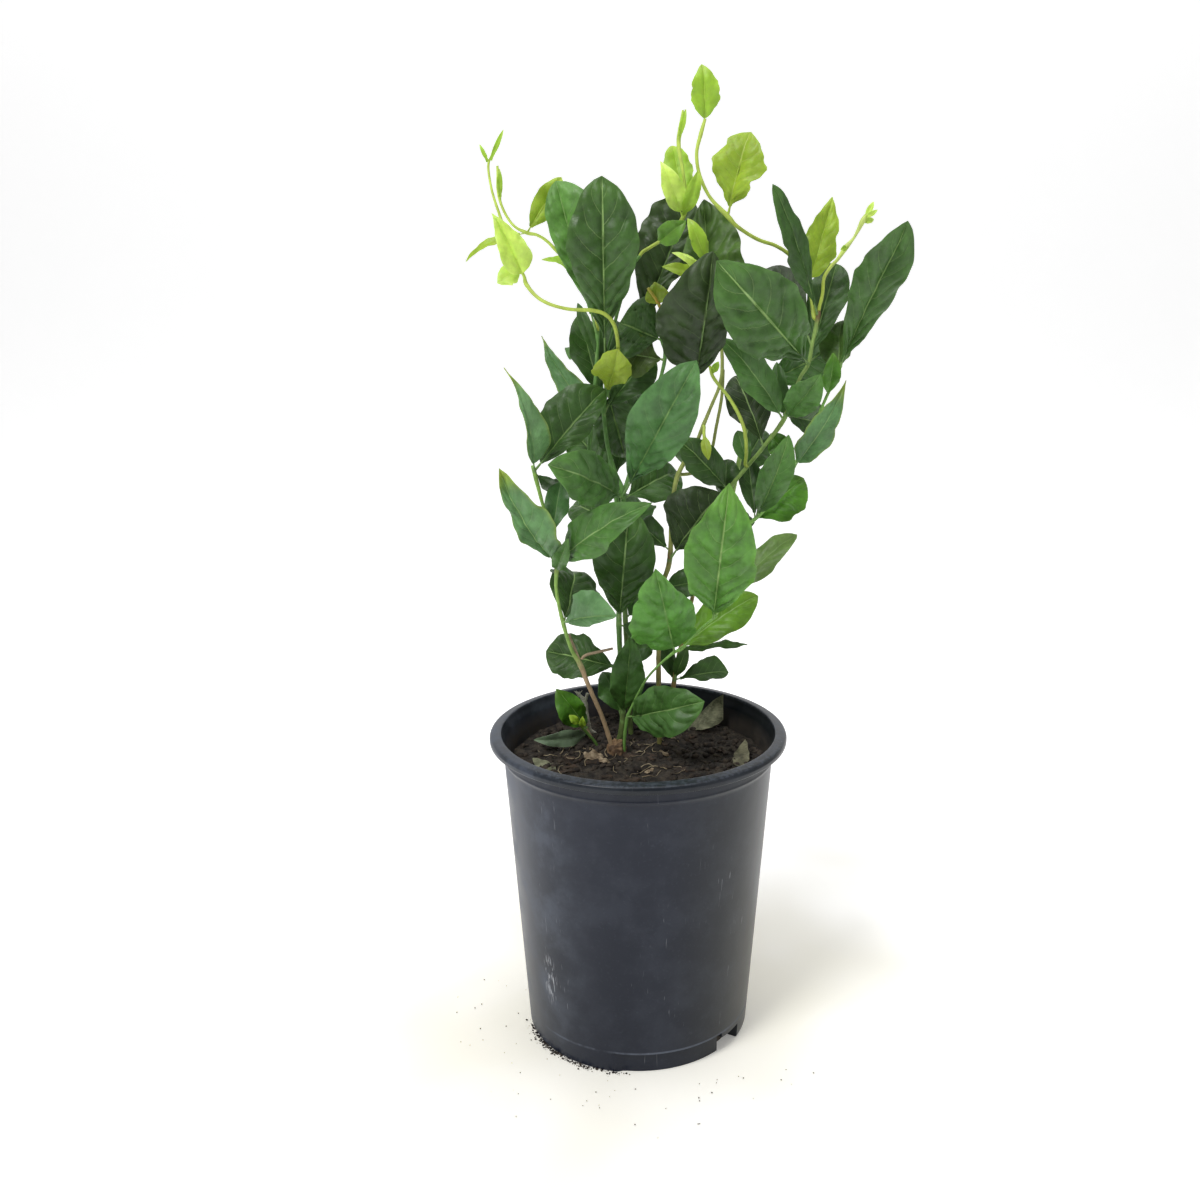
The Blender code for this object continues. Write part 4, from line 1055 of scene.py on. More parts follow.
def front_left_stem() -> LeafySpray:
    """The woody stem that leans to the left and turns green above its first node."""
    main = rooted([
        (-14, 162, 11, 1.4), (-16, 170, 10, 1.34), (-20, 183, 8, 1.23), (-24, 193, 6, 1.23),
        (-28, 203, 4, 1.23), (-32, 214, 2, 1.52), (-36, 221, 0, 1.0), (-39, 230, -2, 1.0),
        (-41, 238, -3, 1.17), (-43, 247, -4, 0.94), (-44.5, 258, -5, 0.94), (-44, 271, -6, 1.29),
        (-46, 285, -7, 0.88), (-50, 300, -8, 0.88), (-55, 321, -10, 1.17), (-55.5, 324, -10, 0.94),
    ])
    stub_up = route([(-32, 215, 2, 0.94), (-38, 231, 3, 0.82)])
    stub_right = route([(-31, 217, 2, 0.88), (-28, 219.5, 1, 0.82), (-14, 223, -4, 0.71)])
    return LeafySpray("front_left_stem", Bark.WOOD_TO_GREEN, (208, 222), [main, stub_up, stub_right], [
        Leaf(Tone.SILVER, (-41, 238, -3), (-14, 242, -32), 20, roll=-12, skew=-0.5, blunt=0.5),
        Leaf(Tone.DARK, (-39, 237.5, -3), (-34.5, 268.5, 34), 32, roll=18, blunt=0.3, lobes=0.07),
        Leaf(Tone.GREY_LIME_TIP, (-44, 271, -6), (-74, 321, -30), 24,
             roll=-28, curl=0.02, fold=24, skew=0.5, blunt=0),
        Leaf(Tone.MID, (-44, 271, -6), (4, 304, -40), 24, roll=-20, blunt=0.3, sharp=0.2),
        Leaf(Tone.MID, (-43.5, 267, -6), (-38, 283, -28), 9),
        Leaf(Tone.GREY, (-46, 286, -7), (-41, 316, 2), 14, roll=-8, arch=0.0, blunt=0.4),
        Leaf(Tone.SILVER_LIME_TIP, (-55, 321, -10), (-65.5, 373, -34), 14,
             roll=30, curl=0.10, skew=0.5, blunt=-0.25, sharp=0.35),
        Leaf(Tone.DARK, (-55, 321, -10), (-17, 365, 4), 28, roll=-10, arch=0.05, skew=-0.3, blunt=0.3),
        Leaf(Tone.DARK, (-55, 320, -10), (-41, 314, 27), 10, roll=30),
    ], branch_bark=Bark.DRY, brown_nodes=(271, 274))


def centre_stem() -> LeafySpray:
    """The main stem in the middle, which forks at half its height."""
    main = rooted([
        (-12, 163, 21, 2.1), (-10, 172, 21, 1.8), (-8.5, 184, 21, 1.74), (-9.5, 200, 20, 1.44),
        (-10, 220, 19, 1.44), (-10.5, 238, 17, 1.68), (-10, 260, 15, 1.32), (-9, 285, 12, 1.32),
        (-8, 308, 10, 1.56), (-12, 320, 12, 1.2), (-16, 334, 13, 1.14), (-18, 352, 12, 1.14),
        (-17, 361, 11, 1.32), (-15.5, 364, 12, 1.08),
    ])
    left = route([
        (-8, 308, 10, 1.26), (-17, 318, 8, 1.14), (-25, 328, 6, 1.08), (-25.5, 338, 6, 1.08),
        (-24.5, 347, 7, 1.26), (-22.5, 365, 8, 1.02), (-21, 385, 9, 1.02), (-21, 391, 9, 1.2),
        (-21, 394, 9.5, 0.96),
    ])
    inner = route([
        (-8, 308, 10, 1.2), (-4, 322, 15, 1.02), (2, 340, 14, 1.02), (8, 358, 10, 1.02),
        (12.5, 373, 8, 0.96), (14, 383, 7, 1.08), (12, 390, 6, 0.96), (11.5, 403, 4, 0.96),
    ])
    short = route([(2, 340, 14, 0.96), (14, 350, 5, 0.9), (24, 358, -2, 0.9), (29, 366, -6, 1.02)])
    rising = route([
        (-18, 350, 12, 0.96), (-19, 362, 22, 0.9), (-18, 376, 25, 0.9), (-14, 390, 23, 0.9),
        (-10, 405, 17, 0.9), (-4, 424, 9, 0.9), (1, 431, 8, 0.9),
    ])
    return LeafySpray("centre_stem", Bark.CROWN_TO_GREEN, (165, 240), [main, left, inner, short, rising], [
        Leaf(Tone.DARK, (-9.5, 212, 20), (-51, 222, 30), 28, roll=10, arch=0.02, lobes=0.1, blunt=0.5),
        Leaf(Tone.DARK, (-10.5, 238, 17), (-5, 300, -8), 34, blunt=0.5),
        Leaf(Tone.DARK, (-10.5, 237, 17), (12, 224, 20), 18, roll=-30),
        Leaf(Tone.MID, (-8.5, 184, 21), (-4, 229, 10), 20, roll=4),
        Leaf(Tone.MID, (-9, 181, 21), (-19, 210, 34), 19, roll=20, petiole=0.2),
        Leaf(Tone.GREY, (-8, 308, 10), (28, 374.5, -50), 32, petiole=0.16, blunt=0.6, skew=-0.06),
        Leaf(Tone.MID, (-8, 306, 10), (-43.5, 324, -38), 29, roll=16, blunt=0.7, lobes=0.08),
        Leaf(Tone.DARK, (-8, 306, 10), (22, 322, 38), 29, roll=-12, blunt=0.3),
        Leaf(Tone.DARK, (-16.5, 363, 11), (-6.5, 326, 34), 33, roll=10, arch=0.0, blunt=0.2, skew=-0.25),
        Leaf(Tone.DARK, (-18, 353, 12), (7, 383, 22), 25, roll=-10, arch=0.0, blunt=0.5),
        Leaf(Tone.DARK, (-18, 353, 12), (-30, 402, 18), 21, roll=12, arch=0.01, petiole=0.2, blunt=0.4),
        Leaf(Tone.DARK, (-17, 361, 10), (-18, 467, -32), 35.5,
             petiole=0.30, arch=0.03, blunt=0.68, lobes=0.07),
        Leaf(Tone.GREY_LIME_TIP, (-24.5, 347, 7), (-52, 391.5, 24), 15,
             roll=-20, curl=0.10, arch=0.0, blunt=-0.25, sharp=0.4),
        Leaf(Tone.LIGHT, (-21, 391, 9), (-41, 466.5, -2), 28,
             petiole=0.16, blunt=0.9, skew=0.28, lobes=0.06),
        Leaf(Tone.DARK, (-21.5, 380, 9), (-31, 408, 16), 7),
        Leaf(Tone.DEEP, (-17.5, 351, 12), (27.5, 460.5, 42), 33,
             petiole=0.42, arch=-0.02, skew=-0.25, blunt=0.7, lobes=0.1),
        Leaf(Tone.DARK, (12.5, 389, 6), (-9.5, 398, 9), 35, roll=8, arch=0.04, blunt=0.5, lobes=0.07),
        Leaf(Tone.OLIVE, (13, 379, 7), (-6, 383, 14), 24, roll=-10, blunt=0.5),
        Leaf(Tone.DEEP, (29, 366, -6), (38, 431, -38), 37, roll=6, skew=-0.33, blunt=0.25, lobes=0.07),
    ])


def middle_stem() -> LeafySpray:
    """The olive stem right of the middle, whose two tips cross each other."""
    main = rooted([
        (12, 164, 22, 1.4), (11, 200, 18, 1.25), (11.5, 225, 15, 1.2), (13, 257, 11, 1.2),
        (17, 273, 9, 1.5), (18, 300, 8, 1.1), (21, 319, 8, 1.3), (30, 335, 6, 0.95), (34, 345, 5, 1.1),
        (38, 355, 5, 0.9), (42, 365, 5, 0.9), (43.5, 374, 4, 0.95), (43, 386, 3, 0.9), (42, 400, 1, 0.85),
        (39, 413, -2, 0.8),
    ])
    side = route([
        (21, 319, 8, 0.95), (31, 321, 14, 0.9), (38, 330, 14, 0.9), (41, 345, 12, 0.85),
        (43.5, 360, 9, 0.85), (44, 374, 5, 0.85),
    ])
    return LeafySpray("middle_stem", Bark.OLIVE, (250, 320), [main, side], [
        Leaf(Tone.DARK, (13, 257, 11), (34, 261, 13), 17, roll=-10, blunt=0.3),
        Leaf(Tone.DEEP, (17, 273, 9), (44, 309, 1), 33,
             roll=-14, petiole=0.16, skew=-0.25, blunt=0.4, lobes=0.06),
        Leaf(Tone.DARK, (17, 278, 9), (-4, 294, 36), 17, roll=20, blunt=0.3),
        Leaf(Tone.MOSS, (42, 392, 2), (31.5, 459.5, 28), 33,
             roll=-15, petiole=0.14, arch=0.02, skew=0.2, blunt=0.1, sharp=0.15),
        Leaf(Tone.DARK, (31, 321, 14), (20, 338, 34), 14, roll=20),
    ], brown_nodes=(273,))


def front_right_stem() -> LeafySpray:
    """The light green stem that comes forward to the right, with the brightest leaves."""
    main = rooted([
        (-8, 161, 10, 0.98), (-7.5, 172, 9, 0.93), (-6, 183, 8, 1.04), (-4, 188, 7, 0.71),
        (0, 197, 5, 0.65), (5, 206, 2, 0.65), (12, 214, -2, 0.65), (20, 221, -6, 0.93),
        (24, 222.5, -8, 0.65), (30, 230, -12, 0.65), (36, 236, -16, 0.65), (41, 240, -20, 0.82),
        (43, 241.5, -21, 0.65),
    ])
    return LeafySpray("front_right_stem", Bark.GREEN, (170, 200), [main], [
        Leaf(Tone.MID, (-6, 183, 8), (34.5, 191.5, -30), 30, roll=6, blunt=0.4, lobes=0.07),
        Leaf(Tone.BRIGHT, (20, 221, -6), (10, 265, -46), 35, blunt=0.05, lobes=0.12, fold=8, skew=-0.15),
        Leaf(Tone.YELLOW_GREEN, (21, 221, -6), (65, 254, 6), 24, roll=-14, blunt=0.3, lobes=0.06),
        Leaf(Tone.DARK, (21, 221, -6), (60, 225, 6), 11, roll=72, curl=0, arch=-0.06),
        Leaf(Tone.BRIGHTEST, (41, 240, -20), (48, 311, -60), 38,
             blunt=0.6, sharp=0.25, lobes=0.08, petiole=0.05),
        Leaf(Tone.SAGE, (41, 240, -20), (84, 288, -14), 16, roll=-24, blunt=0.6, lobes=0.1),
    ])


def right_stem() -> LeafySpray:
    """The long stem that arches out to the right behind the bright leaves."""
    main = rooted([
        (16, 166, 30, 1.4), (18, 186, 28, 1.3), (20, 205, 26, 1.4), (22, 218, 26, 1.15),
        (27, 240, 25, 1.15), (33, 268, 22, 1.15), (41, 296, 16, 1.1), (48, 311, 11, 1.25),
        (58, 324, 8, 1.05), (66, 334, 5, 1.05), (76, 348, 0, 1.3), (80, 360, 1, 0.95), (84, 370, 2, 0.95),
        (88, 377, 3, 1.1), (89.5, 386, 3, 0.95), (92, 400, 4, 1.2), (92.5, 404, 4, 0.9),
    ])
    return LeafySpray("right_stem", Bark.STRAW, (240, 320), [main], [
        Leaf(Tone.DARK, (20, 205, 26), (50, 210, 32), 15, roll=-20, blunt=0.7, lobes=0.12, skew=-0.3),
        Leaf(Tone.DARK, (20, 204, 26), (11, 228, 34), 11, roll=20, blunt=0.3),
        Leaf(Tone.DARK, (20.5, 206, 26), (27, 224, 22), 8),
        Leaf(Tone.DARK, (48, 311, 11), (22, 338, -5), 20, roll=18, arch=0.03, blunt=0.3),
        Leaf(Tone.DARK, (46, 308, 12), (47, 328, 22), 16, roll=-10),
        Leaf(Tone.DEEP, (66, 334, 5), (50, 372, 28), 24, roll=12, blunt=0.3),
        Leaf(Tone.MID, (58, 324, 8), (52, 343, 17), 10),
        Leaf(Tone.MID, (76, 348, 0), (44, 390, -13), 19, roll=20, blunt=0.2),
        Leaf(Tone.MID, (76, 349, 0), (71, 378, 7), 11, roll=-20, arch=0.0),
        Leaf(Tone.MID, (77, 349, 0), (94, 370, -22), 18, roll=12, blunt=0.4),
        Leaf(Tone.DARK, (78, 350, 0), (99, 346, 28), 21, arch=0.02, blunt=0.5),
        Leaf(Tone.DUSKY, (88, 377, 3), (43, 425, -50), 40, petiole=0.06, blunt=0.6, lobes=0.08),
        Leaf(Tone.DARK, (88, 377, 3), (101, 429, 34), 22, arch=0.02, blunt=0.6),
        Leaf(Tone.DEEP, (89.5, 386, 3), (65, 427, 38), 21, roll=30, blunt=0.8),
        Leaf(Tone.DUSKY, (92, 401, 4), (68, 465.5, -20), 17,
             roll=26, curl=0, twist=30, arch=0.03, skew=-0.3, blunt=0.5, lobes=0.1),
    ], brown_nodes=(401, 404))


def far_right_stem(parent: Line) -> LeafySpray:
    """The branch that leaves the right stem behind the largest leaves and reaches furthest out."""
    main = beside(parent, 6, [
        (43, 282, 19, 0.9), (54, 291, 10, 0.9), (62, 295, 5, 1.1), (75, 310, 3, 0.9), (83, 325, 3, 1.05),
        (90, 340, 4, 0.85), (98, 360, 7, 0.85), (104, 374, 9, 1.0), (105, 377, 9, 0.8),
    ])
    return LeafySpray("far_right_stem", Bark.GREEN, (270, 300), [main], [
        Leaf(Tone.FRESH, (62, 293, 5), (88, 318, 15), 25,
             roll=-6, petiole=0.08, arch=0.0, blunt=0.3, lobes=0.09, skew=0.15),
        Leaf(Tone.MID, (62, 296, 5), (79, 338, -22), 18, roll=14, blunt=0.4),
        Leaf(Tone.DARK, (62, 296, 5), (58, 328, 25), 14, roll=10, arch=0.0, blunt=0.4),
        Leaf(Tone.FRESH, (83, 325, 3), (69, 341, 12), 13, roll=-10),
        Leaf(Tone.GREY_LIME_TIP, (83, 322, 3), (108, 365, -20), 16,
             roll=16, curl=0.12, blunt=0.1, sharp=0.3, lobes=0.14),
        Leaf(Tone.DUSKY, (104, 374, 9), (136, 444, -46), 25.5,
             roll=18, arch=-0.05, skew=-0.1, blunt=0.65, lobes=0.08, petiole=0.05),
        Leaf(Tone.MOSS, (103, 372, 9), (104, 400, 26), 19, roll=-20, arch=0.0, skew=-0.2),
        Leaf(Tone.FRESH, (98, 361, 7), (101, 382, 0), 10, roll=15),
    ])


def back_left_stem() -> LeafySpray:
    """A stem behind the middle, hidden from the front by the leaves before it."""
    main = rooted([
        (-4, 171, 38, 1.5), (-5, 190, 40, 1.38), (-6, 215, 44, 1.38), (-7, 240, 46, 1.56),
        (-8, 265, 46, 1.26), (-9, 290, 44, 1.5), (-13, 315, 42, 1.44), (-17, 345, 40, 1.14),
        (-20, 375, 38, 1.38), (-20, 400, 36, 1.08), (-22, 424, 34, 1.2), (-22.5, 427, 34, 0.96),
    ])
    return LeafySpray("back_left_stem", Bark.CROWN_TO_GREEN, (180, 300), [main], [
        Leaf(Tone.DARK, (-7, 240, 46), (-13, 285, 74), 27, roll=10),
        Leaf(Tone.MID, (-7, 240, 46), (10, 256, 82), 24, roll=-12),
        Leaf(Tone.DARK, (-9, 290, 44), (-36, 304, 76), 24, roll=14),
        Leaf(Tone.MID, (-9, 290, 44), (3, 306, 82), 25, roll=-20),
        Leaf(Tone.DARK, (-13, 315, 42), (-38, 346, 66), 25, roll=22),
        Leaf(Tone.DARK, (-13, 315, 42), (4, 366, 72), 31, roll=-16, blunt=0.6),
        Leaf(Tone.MID, (-20, 375, 38), (-34, 388, 64), 19, roll=20),
        Leaf(Tone.DARK, (-20, 375, 38), (0, 398, 70), 22, roll=-18),
        Leaf(Tone.DARK, (-22, 424, 34), (-38, 458, 46), 22, roll=16),
        Leaf(Tone.MID, (-22, 424, 34), (-8, 458, 56), 21, roll=-14),
    ])


def back_right_stem() -> LeafySpray:
    """A stem behind the right half, hidden from the front by the leaves before it."""
    main = rooted([
        (12, 173, 42, 1.5), (11.5, 200, 43, 1.38), (12, 228, 45, 1.56), (20, 252, 47, 1.26),
        (32, 270, 48, 1.26), (43, 287, 46, 1.5), (49, 303, 44, 1.2), (52, 320, 42, 1.44),
        (57, 345, 40, 1.14), (62, 366, 38, 1.38), (64, 388, 36, 1.08), (66, 406, 34, 1.2),
        (66.5, 409, 34, 0.96),
    ])
    return LeafySpray("back_right_stem", Bark.STRAW, (200, 320), [main], [
        Leaf(Tone.DARK, (12, 228, 45), (21, 256, 70), 22, roll=14),
        Leaf(Tone.MID, (12, 226, 45), (-6, 226, 78), 21, roll=-14),
        Leaf(Tone.DARK, (43, 287, 46), (56, 303, 78), 25, roll=16),
        Leaf(Tone.MID, (43, 287, 46), (30, 290, 82), 24, roll=-16),
        Leaf(Tone.DARK, (52, 320, 42), (66, 344, 66), 22, roll=18),
        Leaf(Tone.DARK, (52, 320, 42), (40, 314, 76), 20, roll=-16),
        Leaf(Tone.MID, (62, 366, 38), (99, 385, 50), 32, roll=16, blunt=0.8),
        Leaf(Tone.DARK, (62, 366, 38), (52, 372, 74), 20, roll=-20),
        Leaf(Tone.MID, (66, 406, 34), (78, 420, 54), 17, roll=12),
        Leaf(Tone.DARK, (66, 406, 34), (48, 424, 52), 20, roll=-12),
    ])


def low_shoot() -> LeafySpray:
    """The short shoot left of the crown, with two leaves near the mix."""
    main = rooted([(-26, 169.5, 30, 1.22), (-27.5, 173, 29, 1.16), (-29, 177, 28, 0.98)])
    return LeafySpray("low_shoot", Bark.WOOD_TO_GREEN, (166, 176), [main], [
        Leaf(Tone.FRESH, (-34, 176, 28.5), (-44.5, 199, 20), 17, roll=8, skew=-0.2),
        Leaf(Tone.DUSTY, (-28, 174, 29), (-57, 169, 6), 10, roll=-15, arch=0.14),
        Leaf(Tone.MID, (-29, 177, 28), (-37, 189, 24), 9),
    ])


def low_sprout() -> YoungShoot:
    """The pale sprout in front of the low shoot."""
    main = rooted([(-23, 167, 22, 0.9), (-28, 173, 20, 0.9), (-33, 179, 17, 0.8)])
    return YoungShoot("low_sprout", Bark.LOW, (160, 180), [main], [
        Leaf(Tone.LIME, (-33, 179, 17), (-38, 184, 14), 5,
             ), Leaf(Tone.LIME, (-31, 177, 18), (-31, 183, 14), 4),
    ])


def left_low_vine(parent: Line) -> YoungShoot:
    """The pale vine that swings out to the left and climbs."""
    main = onward(parent, [
        (-12.5, 370, 10, 1.0), (-10.5, 378, 2, 1.0), (-10.5, 388, -9, 1.0), (-12.5, 397, -18, 1.0),
        (-17, 402, -22, 1.0), (-24, 404, -25, 1.0), (-35, 404.5, -26, 0.9), (-45, 407, -25, 0.9),
        (-52, 411, -22, 0.9), (-57, 417, -18, 1.1), (-58, 421, -18, 0.8), (-62, 428, -16, 0.7),
        (-66, 440, -15, 0.7), (-70, 452, -15, 0.7), (-73, 462, -14, 0.6), (-74.5, 472, -13, 0.6),
        (-74, 477, -13, 0.6),
    ])
    return YoungShoot("left_low_vine", Bark.YOUNG, (405, 440), [main], [
        Leaf(Tone.OLIVE_LIME, (-16, 362, 8), (-10.5, 383, -10), 20,
             roll=8, petiole=0.04, lobes=0.16, blunt=0.8, skew=-0.1),
        Leaf(Tone.PALE_LIME, (-58, 419, -18), (-73, 451.5, -23), 17,
             roll=12, blunt=-0.3, fold=26, lobes=0.07),
        Leaf(Tone.PALE_LIME, (-59.5, 424, -18), (-71.5, 418, -22), 11, roll=20, lobes=0.18),
        Leaf(Tone.LIME, (-74, 475, -13), (-78.5, 484, -13), 2),
        Leaf(Tone.LIME, (-74, 475, -13), (-66.5, 491, -11), 2.4),
    ])


def left_high_vine(parent: Line) -> YoungShoot:
    """The pale vine above it, with a closed bud at its tip."""
    main = onward(parent, [
        (-22.5, 403, 12, 1.0), (-25, 412, 13, 1.0), (-26, 417, 13, 1.0), (-30, 422, 12, 0.9),
        (-36, 428, 10, 0.9), (-41, 433, 8, 0.9), (-46, 438, 7, 0.8), (-51, 441, 6, 0.8), (-56, 442, 6, 1.0),
        (-62, 445, 6, 0.7), (-66, 450, 7, 0.7), (-69, 457, 8, 0.7), (-69.5, 463, 8, 1.3),
        (-70, 474, 8, 0.6),
    ])
    return YoungShoot("left_high_vine", Bark.YOUNG, (400, 450), [main], [
        Leaf(Tone.LEAF_LIME, (-56, 442, 6), (-38, 469, 12), 13, blunt=0.2),
        Leaf(Tone.LEAF_LIME, (-56, 442, 6), (-88, 429.5, 6), 5.5, roll=50, lobes=0.16),
        Leaf(Tone.LIME, (-27, 418, 13), (-48, 430, 6), 7, roll=50, arch=0.16, lobes=0.16),
        Leaf(Tone.LIME, (-69, 458, 8), (-69, 472.5, 6), 3),
    ])


def centre_shoot(parent: Line) -> YoungShoot:
    """The pale shoot that stands highest in the middle."""
    main = onward(parent, [
        (6, 435, 7, 0.9), (14, 440, 5, 0.9), (21, 447, 4, 1.1), (24, 455, 3, 1.1), (22.5, 470, 2, 0.8),
        (20, 485, 2, 1.1), (22, 500, 2, 0.6),
    ])
    return YoungShoot("centre_shoot", Bark.YOUNG, (430, 480), [main], [
        Leaf(Tone.ROUND_GREEN, (10, 437.5, 6), (23.5, 447.5, -4), 12, petiole=0.04),
        Leaf(Tone.PALE_LIME, (22, 450, 4), (11.5, 476, -2), 12, roll=14, blunt=-0.1),
        Leaf(Tone.LIME, (27, 455, 3), (17, 484.5, 18), 15.5,
             roll=14, petiole=0.16, arch=-0.02, blunt=0.2, lobes=0.08),
        Leaf(Tone.LIME, (22, 449, 4), (30, 471, -5), 8, roll=20, blunt=0.2),
        Leaf(Tone.LIME, (20, 486, 2), (23.5, 500.5, 0), 3),
    ])


def inner_shoot(parent: Line) -> YoungShoot:
    """The small pale shoot inside the crown."""
    main = onward(parent, [(9, 409.5, 2, 0.9), (5, 415, 0, 0.8)])
    return YoungShoot("inner_shoot", Bark.ORANGE, (405, 415), [main], [
        Leaf(Tone.OLIVE_LIME, (10.5, 407, 3), (8.5, 418, 3), 13, petiole=0.04, blunt=-0.2),
    ])


def short_shoot(parent: Line) -> YoungShoot:
    """The pale tuft between the two large front leaves."""
    main = onward(parent, [(37, 419, -5, 0.9), (34.5, 426, -7, 0.9)])
    return YoungShoot("short_shoot", Bark.YOUNG, (400, 430), [main], [
        Leaf(Tone.LIME, (34.5, 426, -7), (25.5, 449, -10), 9, roll=20, lobes=0.08),
        Leaf(Tone.PALE_LIME, (36, 422, -6), (23, 431, -13), 5, roll=-20, lobes=0.14),
        Leaf(Tone.PALE_LIME, (36.5, 421, -5), (17.5, 433, -4), 4.5, roll=30, lobes=0.14),
        Leaf(Tone.LEAF_LIME, (37, 419, -5), (12.5, 426, -9), 7, roll=20, lobes=0.12),
    ])


def top_vine(parent: Line) -> YoungShoot:
    """The pale vine that leans back from the right top to the middle top."""
    main = beside(parent, 16, [
        (88.5, 410, 10, 1.1), (86, 419, 11, 1.1), (78, 430, 9, 1.0), (70, 435.5, 6, 1.0), (60, 439, 3, 1.0),
        (50, 445, 0, 1.0), (45, 450, 0, 1.3), (36, 459, 1, 0.9), (30.5, 470, 2, 0.9), (29, 480, 2, 0.9),
        (31, 489, 2, 1.1), (33, 496, 2, 0.8),
    ])
    return YoungShoot("top_vine", Bark.YOUNG, (420, 470), [main], [
        Leaf(Tone.LIME, (33, 495, 2), (31.5, 521, 0), 15, roll=16, petiole=0.05, blunt=0.1, lobes=0.12),
        Leaf(Tone.LEAF_LIME, (45, 450, 0), (55, 490, -4), 26,
             roll=-14, petiole=0.12, blunt=0.45, lobes=0.18),
        Leaf(Tone.LEAF_LIME, (87, 416, 10.5), (97.5, 459.5, 12), 17.5,
             roll=6, blunt=-0.1, lobes=0.12, arch=0),
    ])


def right_vine(parent: Line) -> YoungShoot:
    """The pale vine at the right top, with bracts at its tip."""
    main = onward(parent, [
        (94, 412, 3, 0.9), (94.5, 420, 2, 0.9), (98, 426, 1, 0.9), (101, 429, 0, 0.9), (105, 435, -1, 1.3),
        (109, 440, -2, 0.7), (113, 448, -3, 1.4), (115, 451, -3, 1.0),
    ])
    return YoungShoot("right_vine", Bark.YOUNG_PALE, (415, 440), [main], [
        Leaf(Tone.PALE_LIME, (114, 449, -3), (118, 457, -3), 3),
        Leaf(Tone.PALE_LIME, (114, 449, -3), (120, 453, -5), 2.6),
        Leaf(Tone.PALE_LIME, (113, 447, -3), (118.5, 448.5, -1), 3),
        Leaf(Tone.LIME, (105, 435, -1), (102.5, 434, -5), 3),
    ])


def twining_shoot(parent: Line) -> YoungShoot:
    """The pale shoot that twines across the two crossing tips."""
    main = beside(parent, 9, [
        (57, 331, 1, 1.0), (56.5, 338, -1, 1.0), (55, 345, -2, 1.0), (52, 352, -3, 1.0), (47, 360, -3, 0.9),
        (42, 366, -3, 0.9), (38.5, 371, -3, 0.9), (37, 376, -3, 0.7),
    ])
    return YoungShoot("twining_shoot", Bark.YOUNG, (320, 370), [main], [
        Leaf(Tone.LIME, (38, 372, -3), (41.5, 378, -5), 4),
    ])


def hanging_sprout(parent: Line) -> YoungShoot:
    """The small pale leaf that hangs from the middle stem."""
    main = beside(parent, 9, [(34.5, 341, -1, 0.9), (35, 337, -2, 0.9)])
    return YoungShoot("hanging_sprout", Bark.YOUNG, (330, 350), [main], [
        Leaf(Tone.OLIVE_LIME, (34.7, 339.5, -1.3), (37, 327.5, -9), 5.5, petiole=0.05),
    ])


def dry_twig_routes() -> list[Line]:
    """The grey cut twig and the fork at its top."""
    main = rooted([
        (-23, 171.5, 37, 1.3), (-27, 176, 36, 1.1), (-28.5, 185, 35, 1.0), (-29.5, 192, 34, 1.3),
        (-33, 196.5, 33, 0.9),
    ])
    return [main, route([(-29.5, 192, 34, 1.0), (-28, 197, 34, 0.9)])]


def jasmine() -> list[LeafySpray]:
    """All the sprays, the woody ones first, and each young shoot on the stem that carries it."""
    centre, middle, right = centre_stem(), middle_stem(), right_stem()
    return [
        front_left_stem(),
        centre,
        middle,
        front_right_stem(),
        right,
        far_right_stem(right.routes[0]),
        back_left_stem(),
        back_right_stem(),
        low_shoot(),
        low_sprout(),
        left_low_vine(centre.routes[0]),
        left_high_vine(centre.routes[1]),
        centre_shoot(centre.routes[4]),
        inner_shoot(centre.routes[2]),
        short_shoot(middle.routes[0]),
        top_vine(right.routes[0]),
        right_vine(right.routes[0]),
        twining_shoot(right.routes[0]),
        hanging_sprout(middle.routes[0]),
    ]


# The pot


